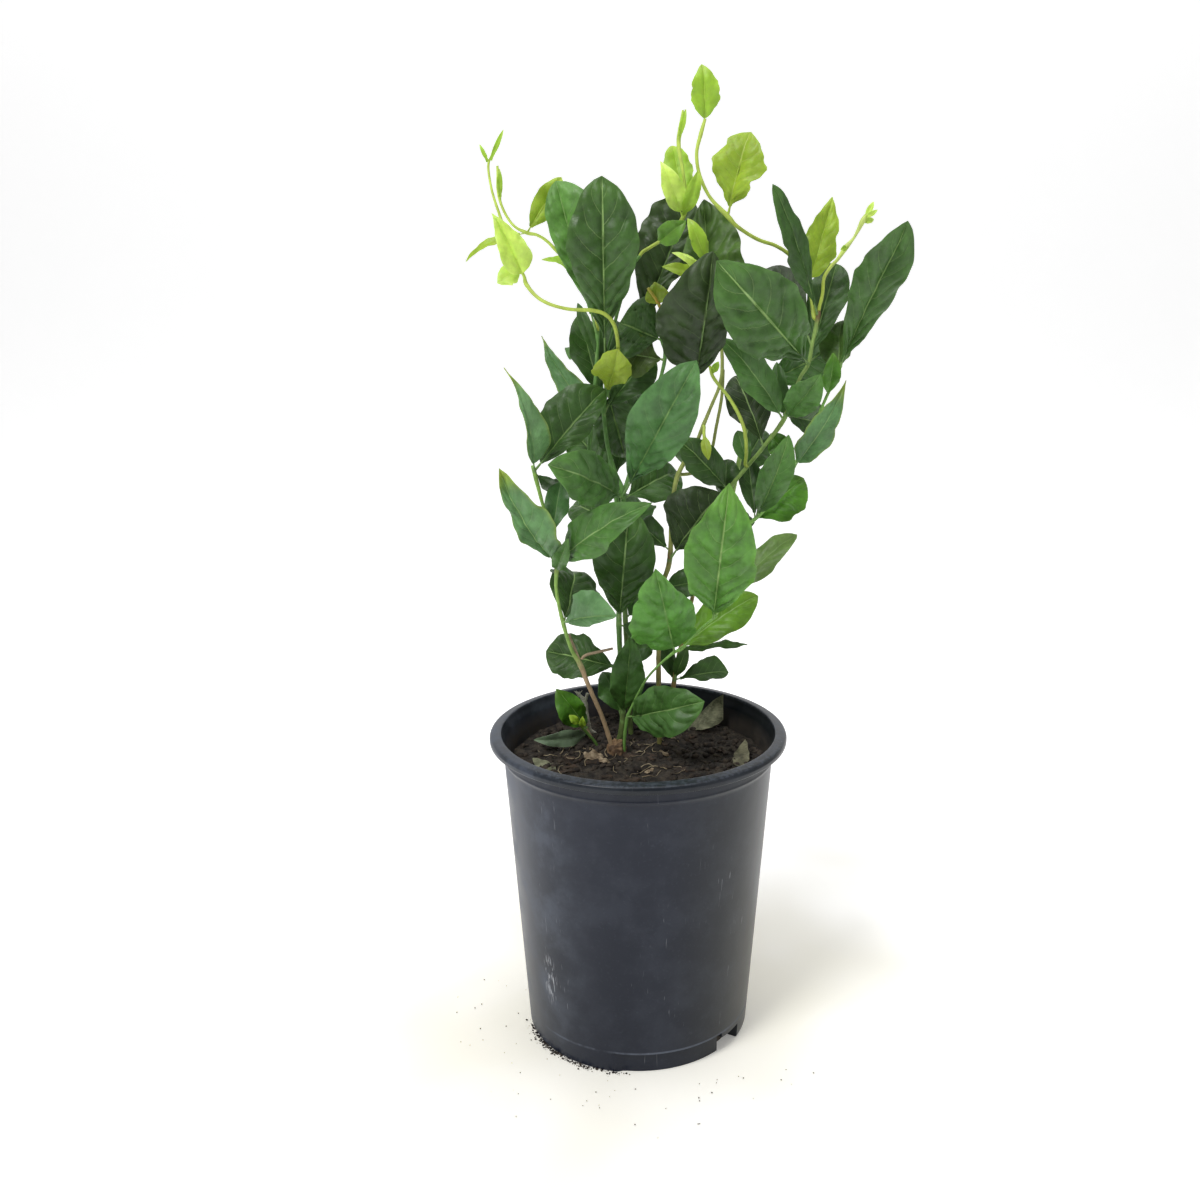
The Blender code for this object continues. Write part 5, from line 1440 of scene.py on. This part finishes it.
@dataclass
class NurseryPot:
    """A moulded nursery pot: tapered wall, rolled double rim, recessed foot panels and drain notches."""

    height: float = 177.0
    lip_radius: float = 82.5
    lip_inner_radius: float = 76.2
    lip_depth: float = 5.0
    wall_top_radius: float = WALL_TOP_RADIUS
    base_radius: float = 63.5
    wall: float = 1.7
    collar_depth: float = 8.5
    collar_proud: float = 1.0
    lip_roll: float = 2.4
    foot_height: float = 12.0
    foot_ramp: float = 4.0
    foot_inset: float = 3.0
    floor: float = 3.0
    floor_radius: float = 50.0
    floor_groove: float = 1.5
    foot_ring: float = 5.5
    notch_height: float = 9.0
    notch_angles: tuple[float, float] = (46.0, 62.0)
    panel_angles: tuple[float, float] = (-15.0, 46.8)
    panel_ramp: float = 9.0
    repeats: int = 2
    steps: int = 192
    arc_steps: int = 4

    def wall_radius(self, z: float) -> float:
        """The outer radius of the wall at a height."""
        return self.base_radius + (self.wall_top_radius - self.base_radius) * z / self.height

    def corners(self) -> list[Point]:
        """Corners as (radius, z, rounding), from the inner floor over the lip to the underside."""
        wall_at, lip = self.wall_radius, self.lip_radius
        under_lip = self.height - self.lip_depth
        collar = under_lip - self.collar_depth
        foot = wall_at(self.foot_height) - self.foot_inset - self.wall
        over_foot = self.foot_height + self.foot_ramp
        outer = wall_at(under_lip) + self.collar_proud
        ring = self.base_radius - self.foot_ring
        return [
            # Up the inside
            (foot, self.floor, 1.0),
            (foot, self.foot_height, 1.0),
            (wall_at(over_foot) - self.wall, over_foot, 1.5),
            (wall_at(collar) - self.wall, collar, 1.5),
            (wall_at(under_lip) - self.wall + self.collar_proud, under_lip - 1.0, 1.2),
            # Over the rolled lip
            (self.lip_inner_radius - 0.6, under_lip + 2.2, 1.0),
            (self.lip_inner_radius, self.height, 1.2),
            (self.lip_inner_radius + 1.4, self.height, 0.6),
            (lip - 1.6, self.height - 0.5, 1.4),
            (lip - 0.5, self.height - 1.2, 0.9),
            (lip - 0.25, self.height - 1.9, 0.5),
            (lip, self.height - self.lip_roll, 0.6),
            (lip - 0.1, under_lip, 1.0),
            # Under the lip, down the collar and the wall
            (outer - 0.2, under_lip + 0.3, 1.0),
            (outer - 0.15, collar + 2.6, 1.2),
            (outer + 0.1, collar + 1.6, 0.8),
            (wall_at(collar) + 0.15, collar - 0.6, 1.4),
            (wall_at(self.foot_height), self.foot_height, 4.0),
            (self.base_radius, 0.0, 1.0),
            # The underside, with its raised middle
            (ring, 0.0, 0.5),
            (ring - self.floor_groove, self.floor_groove, 0.5),
            (self.floor_radius + self.floor_groove, self.floor_groove, 0.5),
            (self.floor_radius, 0.0, 0.5),
        ]

    def profile(self) -> list[tuple[float, float]]:
        """The section with its corners rounded by arcs."""
        corners = self.corners()
        found = [corners[0][:2]]
        for before, here, after in zip(corners, corners[1:], corners[2:]):
            point = Vector(here[:2])
            back = Vector(before[:2]) - point
            on = Vector(after[:2]) - point
            reach = min(here[2], back.length * 0.45, on.length * 0.45)
            start = point + back.normalized() * reach
            end = point + on.normalized() * reach
            for i in range(self.arc_steps + 1):
                t = i / self.arc_steps
                found.append(tuple(start * (1 - t) ** 2 + point * 2 * t * (1 - t) + end * t**2))
        found.append(corners[-1][:2])
        return found

    def build(self, finish: Finish) -> Piece:
        """Builds the pot and puts it in the frame for its node."""
        pot = self.turned_shell()
        for cutter in self.cutters():
            apply_modifier(pot, "BOOLEAN", operation="DIFFERENCE", object=cutter, solver="EXACT")
            bpy.data.objects.remove(cutter)
        return place_piece(dress(pot, finish, 35.0), Slot.POT, "pot")

    def turned_shell(self) -> Piece:
        """The whole pot as one turned solid: a ring drawn up the inside, over the lip and down again."""
        profile = self.profile()
        first_radius, first_z = profile[0]
        deselect()
        bpy.ops.mesh.primitive_circle_add(
            vertices=self.steps, radius=first_radius * MM, fill_type="NGON", location=(0, 0, first_z * MM)
        )
        pot = bpy.context.active_object
        pot.name = pot.data.name = "nursery_pot"
        bpy.ops.object.transform_apply(location=True, rotation=False, scale=False)
        bpy.ops.object.mode_set(mode="EDIT")
        bpy.ops.mesh.select_mode(type="EDGE")
        bpy.ops.mesh.select_all(action="SELECT")
        bpy.ops.mesh.region_to_loop()
        for (radius, z), (next_radius, next_z) in zip(profile, profile[1:]):
            bpy.ops.mesh.extrude_edges_move(TRANSFORM_OT_translate={"value": (0.0, 0.0, (next_z - z) * MM)})
            scale = next_radius / radius
            bpy.ops.transform.resize(value=(scale, scale, 1.0), center_override=(0.0, 0.0, next_z * MM))
        bpy.ops.mesh.edge_face_add()
        bpy.ops.mesh.select_mode(type="VERT")
        bpy.ops.object.mode_set(mode="OBJECT")
        mend(pot)
        return pot

    def cutters(self) -> list[Piece]:
        """The shapes that are cut out of the foot: a shallow panel and a drain notch on each side."""
        made = []
        for repeat in range(self.repeats):
            shift = 360 / self.repeats * repeat
            made.append(self.panel_cutter(shift))
            notch = self.floor_radius + 2 * self.floor_groove
            made.append(self.sector(notch, self.notch_height, self.notch_angles, shift))
        return made

    def panel_cutter(self, shift: float) -> Piece:
        """A recessed foot panel, which slopes in from the wall's face at its start."""
        panel = self.wall_radius(self.foot_height) - self.foot_inset
        start = self.panel_angles[0]
        cutter = self.sector(panel, self.foot_height, self.panel_angles, shift)
        for vertex in cutter.data.vertices:
            # Only the inner corners move, and the ramp starts a hair proud of the wall
            if math.hypot(vertex.co.x, vertex.co.y) < (self.lip_radius - 1.0) * MM:
                turn = math.degrees(math.atan2(vertex.co.y, vertex.co.x)) + 90 - shift - start
                left = 1 - smooth(0.0, self.panel_ramp, (turn + 180) % 360 - 180)
                vertex.co.xy *= 1 + left * (self.foot_inset + 0.4) / panel
        return cutter

    def sector(self, inner: float, top: float, angles: tuple[float, float], shift: float) -> Piece:
        """Part of a turn from an inner radius outwards, from below the floor up to a height.

        Args:
            inner: The sector's inner radius.
            top: How high it reaches.
            angles: Where it starts and ends, in degrees from the front towards +X.
            shift: How far it is turned on from there.

        Returns:
            The cutter.
        """
        start, end = (math.radians(angle + shift - 90) for angle in angles)
        # The spin operator turns clockwise for a positive angle
        deselect()
        bpy.ops.mesh.primitive_plane_add(size=1.0)
        cutter = bpy.context.active_object
        corners = ((inner, -1.0), (self.lip_radius, -1.0), (self.lip_radius, top), (inner, top))
        order = sorted(cutter.data.vertices, key=lambda vertex: math.atan2(vertex.co.y, vertex.co.x))
        for vertex, (radius, z) in zip(order, corners):
            vertex.co = Vector((radius * math.cos(start), radius * math.sin(start), z)) * MM
        in_edit_mode(
            cutter,
            lambda: bpy.ops.mesh.spin(
                steps=max(4, round((end - start) / math.tau * self.steps)),
                angle=start - end,
                center=(0.0, 0.0, 0.0),
                axis=(0.0, 0.0, 1.0),
            ),
        )
        mend(cutter)
        return cutter


# The potting mix and what lies on it


def thin_sheet(
    name: str,
    cells: tuple[int, int],
    shape: Callable[[float, float], Point],
    thickness: float,
    offset: float = 0.0,
) -> Piece:
    """A thin sheet: a square grid from -1 to 1, bent by a shape and thickened.

    Args:
        name: The new object's name.
        cells: How many cells the grid has each way.
        shape: Gives each vertex its place in millimetres from its two grid coordinates.
        thickness: The sheet's thickness in millimetres.
        offset: 0 to thicken it both ways, or -1 to thicken it downwards.

    Returns:
        The sheet.
    """
    deselect()
    bpy.ops.mesh.primitive_grid_add(x_subdivisions=cells[0], y_subdivisions=cells[1], size=2.0)
    made = bpy.context.active_object
    made.name = made.data.name = name
    for vertex in made.data.vertices:
        vertex.co = Vector(shape(vertex.co.x, vertex.co.y)) * MM
    apply_modifier(made, "SOLIDIFY", thickness=thickness * MM, offset=offset)
    return made


def scatter(name: str, pattern: Piece, spots: Iterable[tuple[Vector, Matrix]]) -> Piece:
    """Copies a small pattern's mesh to many places as one piece, and removes the pattern.

    Args:
        name: The new object's name.
        pattern: The shape to repeat, in millimetres about the origin.
        spots: For each copy its place in millimetres and its 3 by 3 turn and size.

    Returns:
        The piece.
    """
    shape = bmesh.new()
    shape.from_mesh(pattern.data)
    corners = np.array([vertex.co[:] for vertex in shape.verts])
    faces = np.array([[vertex.index for vertex in face.verts] for face in shape.faces])
    shape.free()
    points, loops = [], []
    for number, (place, turn) in enumerate(spots):
        points.append(corners @ np.array(turn).T + np.array(place))
        loops.append(faces + number * len(corners))
    mesh = bpy.data.meshes.new(name)
    mesh.from_pydata((np.vstack(points) * MM).tolist(), [], np.vstack(loops).tolist())
    bpy.data.objects.remove(pattern)
    piece = bpy.data.objects.new(name, mesh)
    bpy.context.scene.collection.objects.link(piece)
    return piece


def crumb_pattern(seed: int) -> Piece:
    """A lumpy granule about 2 mm across, in millimetres about the origin."""
    deselect()
    bpy.ops.mesh.primitive_ico_sphere_add(subdivisions=2, radius=1.0)
    crumb = bpy.context.active_object
    for vertex in crumb.data.vertices:
        lump = 1 + 0.38 * noise.noise(vertex.co * 1.3 + Vector((seed * 3.1, 0, 0)))
        vertex.co = Vector((vertex.co.x * 1.15, vertex.co.y * 0.9, vertex.co.z * 0.7)) * lump
    return crumb


def chip_pattern(seed: int) -> Piece:
    """A flat splinter of bark, 10 by 4.5 by 1.3 mm, with broken ends."""
    deselect()
    bpy.ops.mesh.primitive_cube_add(size=1.0)
    chip = bpy.context.active_object
    in_edit_mode(chip, lambda: bpy.ops.mesh.subdivide(number_cuts=3))
    # noise_vector shifts its pattern by a seed that comes from the clock unless it is set
    noise.seed_set(seed)
    for vertex in chip.data.vertices:
        rough = noise.noise_vector(vertex.co * 2.1 + Vector((0, seed * 2.7, 0)))
        vertex.co = Vector((vertex.co.x * 10.0, vertex.co.y * 4.5, vertex.co.z * 1.3)) + Vector(
            (rough.x * 1.6, rough.y * 1.3, rough.z * 0.5)
        )
    mend(chip)
    return chip


@dataclass
class MixSurface:
    """The top of the potting mix: its crumbly skin, granules, bark chips and pale root threads."""

    radius: float = 70.6
    cells: int = 150
    skin_depth: float = 3.0
    # How far the skin stands over the solid, and its lumps as (size, height, seed), coarse to fine
    skin_rise: float = 1.1
    lumps: tuple[tuple[float, float, float], ...] = ((9.0, 1.2, 3.0), (3.6, 0.9, 7.0), (1.5, 0.45, 9.0))
    crumbs: int = 1100
    crumb_shares: tuple[float, ...] = (0.45, 0.35, 0.20)
    chips: int = 46
    # The long splinter at the front, against the wall
    splinter: tuple[float, float] = (24.0, -62.0)
    # Root threads, whose middle lies left of and in front of the pot's axis
    thread_count: int = 26
    thread_shift: tuple[float, float] = (12.0, 6.0)
    thread_hop: float = 1.9
    lot: random.Random = field(default_factory=lambda: random.Random(11))

    def build(self, finishes: Finishes) -> list[Piece]:
        """Builds the pieces, and dresses the mix's own solid below them."""
        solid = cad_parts["potting_mix"]
        solid.data.materials.clear()
        solid.data.materials.append(finishes["mix"])
        pieces = [self.skin(finishes["mix"])]
        for number, share in enumerate(self.crumb_shares):
            pieces.append(self.granules(number, round(self.crumbs * share), finishes["crumb"]))
        pieces.append(self.bark_chips(finishes["bark_chip"]))
        pieces.append(self.threads(finishes["root_thread"]))
        for piece in pieces:
            place_piece(piece, Slot.MIX)
        return pieces

    def spot(self, within: float = 1.0) -> tuple[float, float]:
        """A random place on the surface."""
        turn = self.lot.uniform(0, math.tau)
        reach = self.radius * within * math.sqrt(self.lot.random())
        return reach * math.cos(turn), reach * math.sin(turn)

    def level(self, x: float, y: float) -> float:
        """The height of the skin, above the solid's own surface."""
        height = soil_height(x, y) + self.skin_rise
        for size, rise, seed in self.lumps:
            height += rise * noise.noise(Vector((x / size, y / size, seed)))
        return height

    def skin(self, finish: Finish) -> Piece:
        """The crumbly top: a fine round grid raised in lumps, with a closed underside."""

        def on_disc(a: float, b: float) -> Point:
            """Turns the square into a disc, so that the rim is a true circle."""
            x = a * math.sqrt(1 - b * b / 2) * self.radius
            y = b * math.sqrt(1 - a * a / 2) * self.radius
            return x, y, self.level(x, y)

        skin = thin_sheet("mix_surface", (self.cells, self.cells), on_disc, self.skin_depth, -1.0)
        return dress(skin, finish)

    def turn(self, size: float, tilt: float) -> Matrix:
        """A random turn about the upright, with some tilt, times a size."""
        flat = Matrix.Rotation(self.lot.uniform(0, math.tau), 3, "Z")
        lean = Matrix.Rotation(self.lot.uniform(-tilt, tilt), 3, "X")
        return flat @ lean * size

    def granules(self, number: int, count: int, finish: Finish) -> Piece:
        """Loose crumbs of the mix, most of them small."""
        spots = []
        for _ in range(count):
            x, y = self.spot(0.985)
            size = 0.5 + 1.9 * self.lot.random() ** 2.4
            reach = math.hypot(x, y) + size
            if reach > self.radius:
                x, y = x * (self.radius - size) / reach, y * (self.radius - size) / reach
            spots.append((Vector((x, y, self.level(x, y) + 0.25 * size)), self.turn(size, 0.9)))
        return dress(scatter(f"mix_granules_{number}", crumb_pattern(number), spots), finish, 80.0)

    def bark_chips(self, finish: Finish) -> Piece:
        """Splinters of composted bark that lie flat or stick out a little."""
        spots = []
        for _ in range(self.chips):
            x, y = self.spot(0.86)
            size = self.lot.uniform(0.35, 0.85)
            spots.append((Vector((x, y, self.level(x, y) + 0.4 * size)), self.turn(size, 0.35)))
        at_wall = Vector((*self.splinter, soil_height(*self.splinter) + 1.6))
        spots.append((at_wall, Matrix.Rotation(0.35, 3, "Z") * 1.5))
        return dress(scatter("bark_chips", chip_pattern(2), spots), finish, 45.0)

    def threads(self, finish: Finish) -> Piece:
        """Pale root threads that curl over the mix near the crown."""
        lines = []
        for _ in range(self.thread_count):
            thread = self.thread_places()
            radius = self.lot.uniform(0.18, 0.36)
            if len(thread) > 3:
                thinner = [radius * (1 - 0.5 * i / len(thread)) for i in range(len(thread))]
                lines.append(curve_through(list(zip(thread, thinner)), 0.8))
        return dress(tubes("root_threads", lines, 1), finish)

    def thread_places(self) -> list[Vector]:
        """Places along one thread, which turns at random and stops short of the wall."""
        x, y = self.spot(0.55)
        x, y = x - self.thread_shift[0], y - self.thread_shift[1]
        heading = self.lot.uniform(0, math.tau)
        bend = self.lot.uniform(-0.35, 0.35)
        found = []
        for step in range(self.lot.randint(7, 14)):
            hop = 0.9 + 0.7 * math.sin(step * 1.1)
            found.append(Vector((x, y, self.level(x, y) + 0.35 + 0.5 * hop)))
            heading += bend + self.lot.uniform(-0.35, 0.35)
            x, y = x + self.thread_hop * math.cos(heading), y + self.thread_hop * math.sin(heading)
            if math.hypot(x, y) > self.radius - 2:
                break
        return found


@dataclass(frozen=True)
class Draped:
    """Something thin and dead that lies on the mix: its middle, size, heading and how far it lifts."""

    name: str
    middle: tuple[float, float]
    length: float
    width: float
    turn: float
    lift: float

    def spot(self, along: float, across: float) -> tuple[float, float]:
        """The x and y of a place that lies this far along and across from the middle."""
        x = self.middle[0] + along * math.cos(self.turn) - across * math.sin(self.turn)
        y = self.middle[1] + along * math.sin(self.turn) + across * math.cos(self.turn)
        return x, y


@dataclass(frozen=True)
class DryLeafLitter(Draped):
    """A dead leaf that lies draped on the mix, curled and crumpled, with its tip lifted."""

    tilt: float = 0.0
    thickness: float = 0.35

    def build(self, finish: Finish) -> Piece:
        """Builds the leaf and puts it in the frame for its node."""
        leaf = thin_sheet(self.name + "_blade", (18, 30), self.shape, self.thickness)
        return place_piece(dress(leaf, finish), Slot.DRY, self.name)

    def shape(self, v: float, along: float) -> Point:
        """The place of a point of the leaf, from -1 to 1 across it and along it."""
        t = (along + 1) / 2
        span = min(0.985, max(0.015, t))
        edge = 1 + 0.10 * math.sin(9.0 * t + 2 * v) + 0.06 * math.sin(23.0 * t)
        half = self.width / 2 * span**0.6 * (1 - span) ** 0.85 / 0.374 * edge
        x, y = self.spot((t - 0.5) * self.length, half * v)
        crumple = 0.7 * noise.noise(Vector((x / 5.0, y / 5.0, self.length)))
        rise = 1.4 + self.lift * t**2 + self.tilt * t * (v + 1) / 2 + 0.16 * half * v * v + crumple
        return x, y, soil_height(x, y) + rise


@dataclass(frozen=True)
class Husk(Draped):
    """A crumpled papery husk, with a ragged edge and a raised middle."""

    thickness: float = 0.3

    def build(self) -> Piece:
        """Builds the husk."""
        return thin_sheet(self.name, (14, 18), self.shape, self.thickness)

    def shape(self, a: float, b: float) -> Point:
        """The place of a point of the husk, from -1 to 1 across it and along it."""
        ragged = 1 + 0.25 * noise.noise(Vector((a * 2 + self.middle[0], b * 2, 1.0)))
        across = a * self.width / 2 * ragged * math.sqrt(1 - 0.6 * b * b)
        x, y = self.spot(b * self.length / 2 * ragged, across)
        folds = 1.3 * noise.noise(Vector((x / 2.4, y / 2.4, 5.0)))
        rise = 1.8 + self.lift * (1 - abs(a)) * (1 - b * b) ** 0.5 + folds
        return x, y, soil_height(x, y) + rise


@dataclass
class DryTwig:
    """The grey dead twig left of the crown, cut short, with its forked and frayed top."""

    routes: list[Line]
    splinters: int = 7

    def build(self, finish: Finish) -> Piece:
        """Builds the twig and puts it in the frame for its node."""
        lines = [curve_through(route, 1.0) for route in self.routes]
        top = self.routes[0][-1][0]
        lot = random.Random(5)
        for _ in range(self.splinters):
            end = top + Vector((lot.uniform(-3, 2.5), lot.uniform(-1.5, 1.5), lot.uniform(0.2, 2.2)))
            frayed = [(top - Vector((0, 0, 1.5)), 0.35), ((top + end) / 2, 0.3), (end, 0.12)]
            lines.append(curve_through(frayed, 0.8))
        twig = tubes("dry_twig_wood", lines, 3)
        points = places(twig.data)
        set_places(twig.data, points + normals_of(twig.data) * (noise_of(points, 1.6) * 0.15)[:, None])
        return place_piece(dress(twig, finish, 50.0), Slot.DRY, "dry_twig")


@dataclass
class Crown:
    """The woody knot where the front stems leave one root, and the papery husks beside it."""

    centre: Point = (-12.5, 11.0, 159.0)
    size: Point = (5.4, 4.6, 6.4)
    # The knot's lumps as (height, how many across it), coarse to fine
    lumps: tuple[tuple[float, float], ...] = ((0.22, 2.2), (0.12, 5.5), (0.06, 12))
    beside: tuple[Husk, ...] = (
        Husk("far_left_husk", (-25.0, 1.0), 11.0, 7.0, 0.3, 3.2),
        Husk("left_husk", (-20.0, -3.0), 9.0, 6.0, 2.4, 2.2),
        Husk("right_husk", (14.0, 6.0), 8.0, 4.0, -0.6, 2.0),
        Husk("front_husk", (6.0, -16.0), 6.0, 3.5, 0.9, 1.2),
    )

    def build(self, finishes: Finishes) -> list[Piece]:
        """Builds the knot and its husks."""
        return [
            place_piece(self.knot(finishes["crown_wood"]), Slot.DRY),
            place_piece(self.husks(finishes["husk"]), Slot.DRY),
        ]

    def knot(self, finish: Finish) -> Piece:
        """A lumpy knob of old wood that swells round the stems."""
        deselect()
        bpy.ops.mesh.primitive_ico_sphere_add(subdivisions=5, radius=1.0)
        knot = bpy.context.active_object
        knot.name = knot.data.name = "crown_knot"
        for vertex in knot.data.vertices:
            way = vertex.co.copy()
            lump = 1.0
            for height, across in self.lumps:
                lump += height * noise.noise(way * across)
            place = Vector(a * b for a, b in zip(way, self.size)) * lump
            vertex.co = (Vector(self.centre) + place) * MM
        return dress(knot, finish, 80.0)

    def husks(self, finish: Finish) -> Piece:
        """The crumpled husks beside the knot, as one piece."""
        return dress(join("papery_husks", [husk.build() for husk in self.beside]), finish)


# The studio


@dataclass(frozen=True)
class SoftLight:
    """A round soft light that faces the plant: its place and width in metres, and its power in watts."""

    name: str
    place: Point
    size: float
    power: float
    target: Point = (0.0, 0.0, 0.2)

    def build(self) -> None:
        """Puts the light in the scene."""
        data = bpy.data.lights.new(self.name, "AREA")
        data.shape = "DISK"
        data.size = self.size
        data.energy = self.power
        light = bpy.data.objects.new(self.name, data)
        light.location = self.place
        light.rotation_euler = (Vector(self.target) - light.location).to_track_quat("-Z", "Y").to_euler()
        bpy.context.scene.collection.objects.link(light)


@dataclass
class Studio:
    """A pale floor, spilled crumbs at the foot, soft lights and the camera at the photograph's viewpoint."""

    lens: float = 37.5
    sensor: float = 36.0
    shift_x: float = -0.0318
    pitch_deg: float = 14.97
    surround: float = 0.31
    lights: tuple[SoftLight, ...] = (
        SoftLight("key", (-0.75, -0.95, 1.55), 0.6, 19.0),
        SoftLight("top", (0.15, 0.05, 1.7), 1.2, 8.5),
        SoftLight("fill", (1.3, -0.7, 0.8), 1.0, 1.5),
    )
    # The sweep, in metres: its gap under the pot, its size and height, and the bend up into the backdrop
    sweep_gap: float = 0.0003
    sweep_size: float = 6.0
    sweep_height: float = 4.0
    sweep_bend: float = 1.2
    bend_steps: int = 24
    # Spilled crumbs, every eighth a stray. Turns are degrees from the front towards +X, the rest millimetres.
    crumbs: int = 420
    stray_every: int = 8
    stray_turns: tuple[float, float] = (-110, 60)
    stray_reaches: tuple[float, float] = (66, 118)
    stray_sizes: tuple[float, float] = (0.18, 0.42)
    heap_turns: tuple[float, float, float] = (-82, 2, -48)
    heap_reach: float = 63.2
    heap_spread: float = 1.7

    def build(self, finishes: Finishes) -> None:
        """Builds the studio."""
        self.camera()
        self.world()
        for light in self.lights:
            light.build()
        self.floor(finishes["floor"])
        self.spilled_crumbs(finishes["crumb"])

    def camera(self) -> None:
        """The camera, level across and looking a little down."""
        data = bpy.data.cameras.new("camera")
        data.lens = self.lens
        data.sensor_width = self.sensor
        data.shift_x = self.shift_x
        data.clip_start = 0.01
        data.clip_end = 50.0
        camera = bpy.data.objects.new("camera", data)
        camera.location = EYE * MM
        camera.rotation_euler = (math.radians(90.0 - self.pitch_deg), 0.0, 0.0)
        bpy.context.scene.collection.objects.link(camera)
        bpy.context.scene.camera = camera

    def world(self) -> None:
        """A bright even surround."""
        world = bpy.data.worlds.new("studio")
        world.use_nodes = True
        background = world.node_tree.nodes["Background"]
        background.inputs["Color"].default_value = rgba("#ffffff")
        background.inputs["Strength"].default_value = self.surround
        bpy.context.scene.world = world
        bpy.context.scene.view_settings.view_transform = "Standard"

    def floor(self, finish: Finish) -> None:
        """The floor, a hair below the pot's foot, swept up into the backdrop behind it."""
        deselect()
        bpy.ops.mesh.primitive_plane_add(size=self.sweep_size, location=(0.0, 0.0, -self.sweep_gap))
        sweep = bpy.context.active_object
        sweep.name = sweep.data.name = "studio_sweep"
        bpy.ops.object.transform_apply(location=True, rotation=False, scale=False)
        self.select_edges(sweep, lambda end: end.y > 0)
        bpy.ops.mesh.extrude_edges_move(TRANSFORM_OT_translate={"value": (0.0, 0.0, self.sweep_height)})
        self.select_edges(sweep, lambda end: end.y > 0 and end.z < 0.01)
        bpy.ops.mesh.bevel(offset=self.sweep_bend, segments=self.bend_steps)
        bpy.ops.object.mode_set(mode="OBJECT")
        dress(sweep, finish, 30.0)

    def select_edges(self, target: Piece, wanted: Callable[[Vector], bool]) -> None:
        """Goes into edit mode with only the edges selected whose ends are both wanted."""
        pick(target)
        bpy.ops.object.mode_set(mode="EDIT")
        bpy.ops.mesh.select_mode(type="EDGE")
        bpy.ops.mesh.select_all(action="DESELECT")
        bpy.ops.object.mode_set(mode="OBJECT")
        for edge in target.data.edges:
            edge.select = all(wanted(target.data.vertices[i].co) for i in edge.vertices)
        bpy.ops.object.mode_set(mode="EDIT")

    def spilled_crumbs(self, finish: Finish) -> None:
        """Crumbs of mix that have come out at the left front notch, and a few strays on the floor."""
        lot = random.Random(3)
        spots = []
        for number in range(self.crumbs):
            if number % self.stray_every == 0:
                turn = math.radians(lot.uniform(*self.stray_turns))
                reach = lot.uniform(*self.stray_reaches)
                size = lot.uniform(*self.stray_sizes)
            else:
                turn = math.radians(lot.triangular(*self.heap_turns))
                reach = self.heap_reach + abs(lot.gauss(0, self.heap_spread))
                size = 0.14 + 0.5 * lot.random() ** 2
            place = Vector((reach * math.sin(turn), -reach * math.cos(turn), 0.3 * size))
            spots.append((place, Matrix.Rotation(lot.uniform(0, math.tau), 3, "Z") * size))
        crumbs = scatter("spilled_crumbs", crumb_pattern(7), spots)
        crumbs.data.materials.append(finish)


def plant_finishes() -> Finishes:
    """Makes every material once, by name."""
    # A blade's shares are its midrib's and side veins' clearness, then come gain, roughness, mottle and glow
    return {
        "mature_blade": LeafBlade("waxy_leaf_upper", "#9fbd78", 0.85, 0.30, 0.82, 0.46, 0.18).build(),
        "mature_underside": LeafBlade("matt_leaf_underside", "#9ab781", 0.55, 0.22, 1.0, 0.62, 0.10).build(),
        "young_blade": LeafBlade("tender_leaf_upper", "#d2e287", 0.45, 0.25, 1.0, 0.45, 0.12, 0.15).build(),
        "young_underside": LeafBlade(
            "tender_leaf_underside", "#dcea9a", 0.45, 0.2, 1.06, 0.55, 0.08, 0.15
        ).build(),
        "stem": StemSkin("stem_bark", 0.62, 0.16).build(),
        "young_stem": StemSkin("tender_stem_skin", 0.48, 0.07).build(),
        "pot": PotPlastic().build(),
        "mix": PottingMixFinish("composted_bark_mix").build(),
        "crumb": PottingMixFinish("mix_crumb", "#262220", "#4a4138", "#6a5945").build(),
        "bark_chip": DryTissue("bark_chip", "#44362b", "#261e18").build(),
        "root_thread": DryTissue("root_thread", "#a89a7e", "#7d6f57").build(),
        "dry_leaf": DryTissue("dead_leaf", "#8c8d72", "#62644e").build(),
        "old_leaf": DryTissue("rotting_leaf", "#74715a", "#4c4a3a").build(),
        "husk": DryTissue("papery_husk", "#a09078", "#6d5c48", 4.0).build(),
        "crown_wood": DryTissue("old_wood", "#846a4e", "#544233", 4.0).build(),
        "twig": DryTissue("dead_twig", "#dedacd", "#b4b0a2", 4.0).build(),
        "floor": PaleFloor().build(),
    }


def main() -> None:
    """Builds the pot, the mix, the plant and the studio, and reports each piece."""
    logging.basicConfig(level=logging.INFO, format="%(message)s")
    finishes = plant_finishes()
    Studio().build(finishes)
    pieces = [NurseryPot().build(finishes["pot"])]
    pieces += MixSurface().build(finishes)
    for spray in jasmine():
        pieces += spray.build(finishes)
    pieces.append(DryTwig(dry_twig_routes()).build(finishes["twig"]))
    for litter, look in (
        (DryLeafLitter("dry_leaf_right", (40.0, 43.0), 21.0, 13.0, 0.1, 6.0, tilt=16.0), "dry_leaf"),
        (DryLeafLitter("dry_leaf_wall", (57.5, -5.0), 21.0, 9.0, 1.3, 9.0), "old_leaf"),
        (DryLeafLitter("dry_leaf_left", (-52.0, -14.0), 16.0, 9.0, 2.5, 3.0), "dry_leaf"),
    ):
        pieces.append(litter.build(finishes[look]))
    pieces += Crown().build(finishes)
    for piece in pieces:
        log.info("%s: %d faces", piece.name, len(piece.data.polygons))
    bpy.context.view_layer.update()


if __name__ == "__main__":
    main()
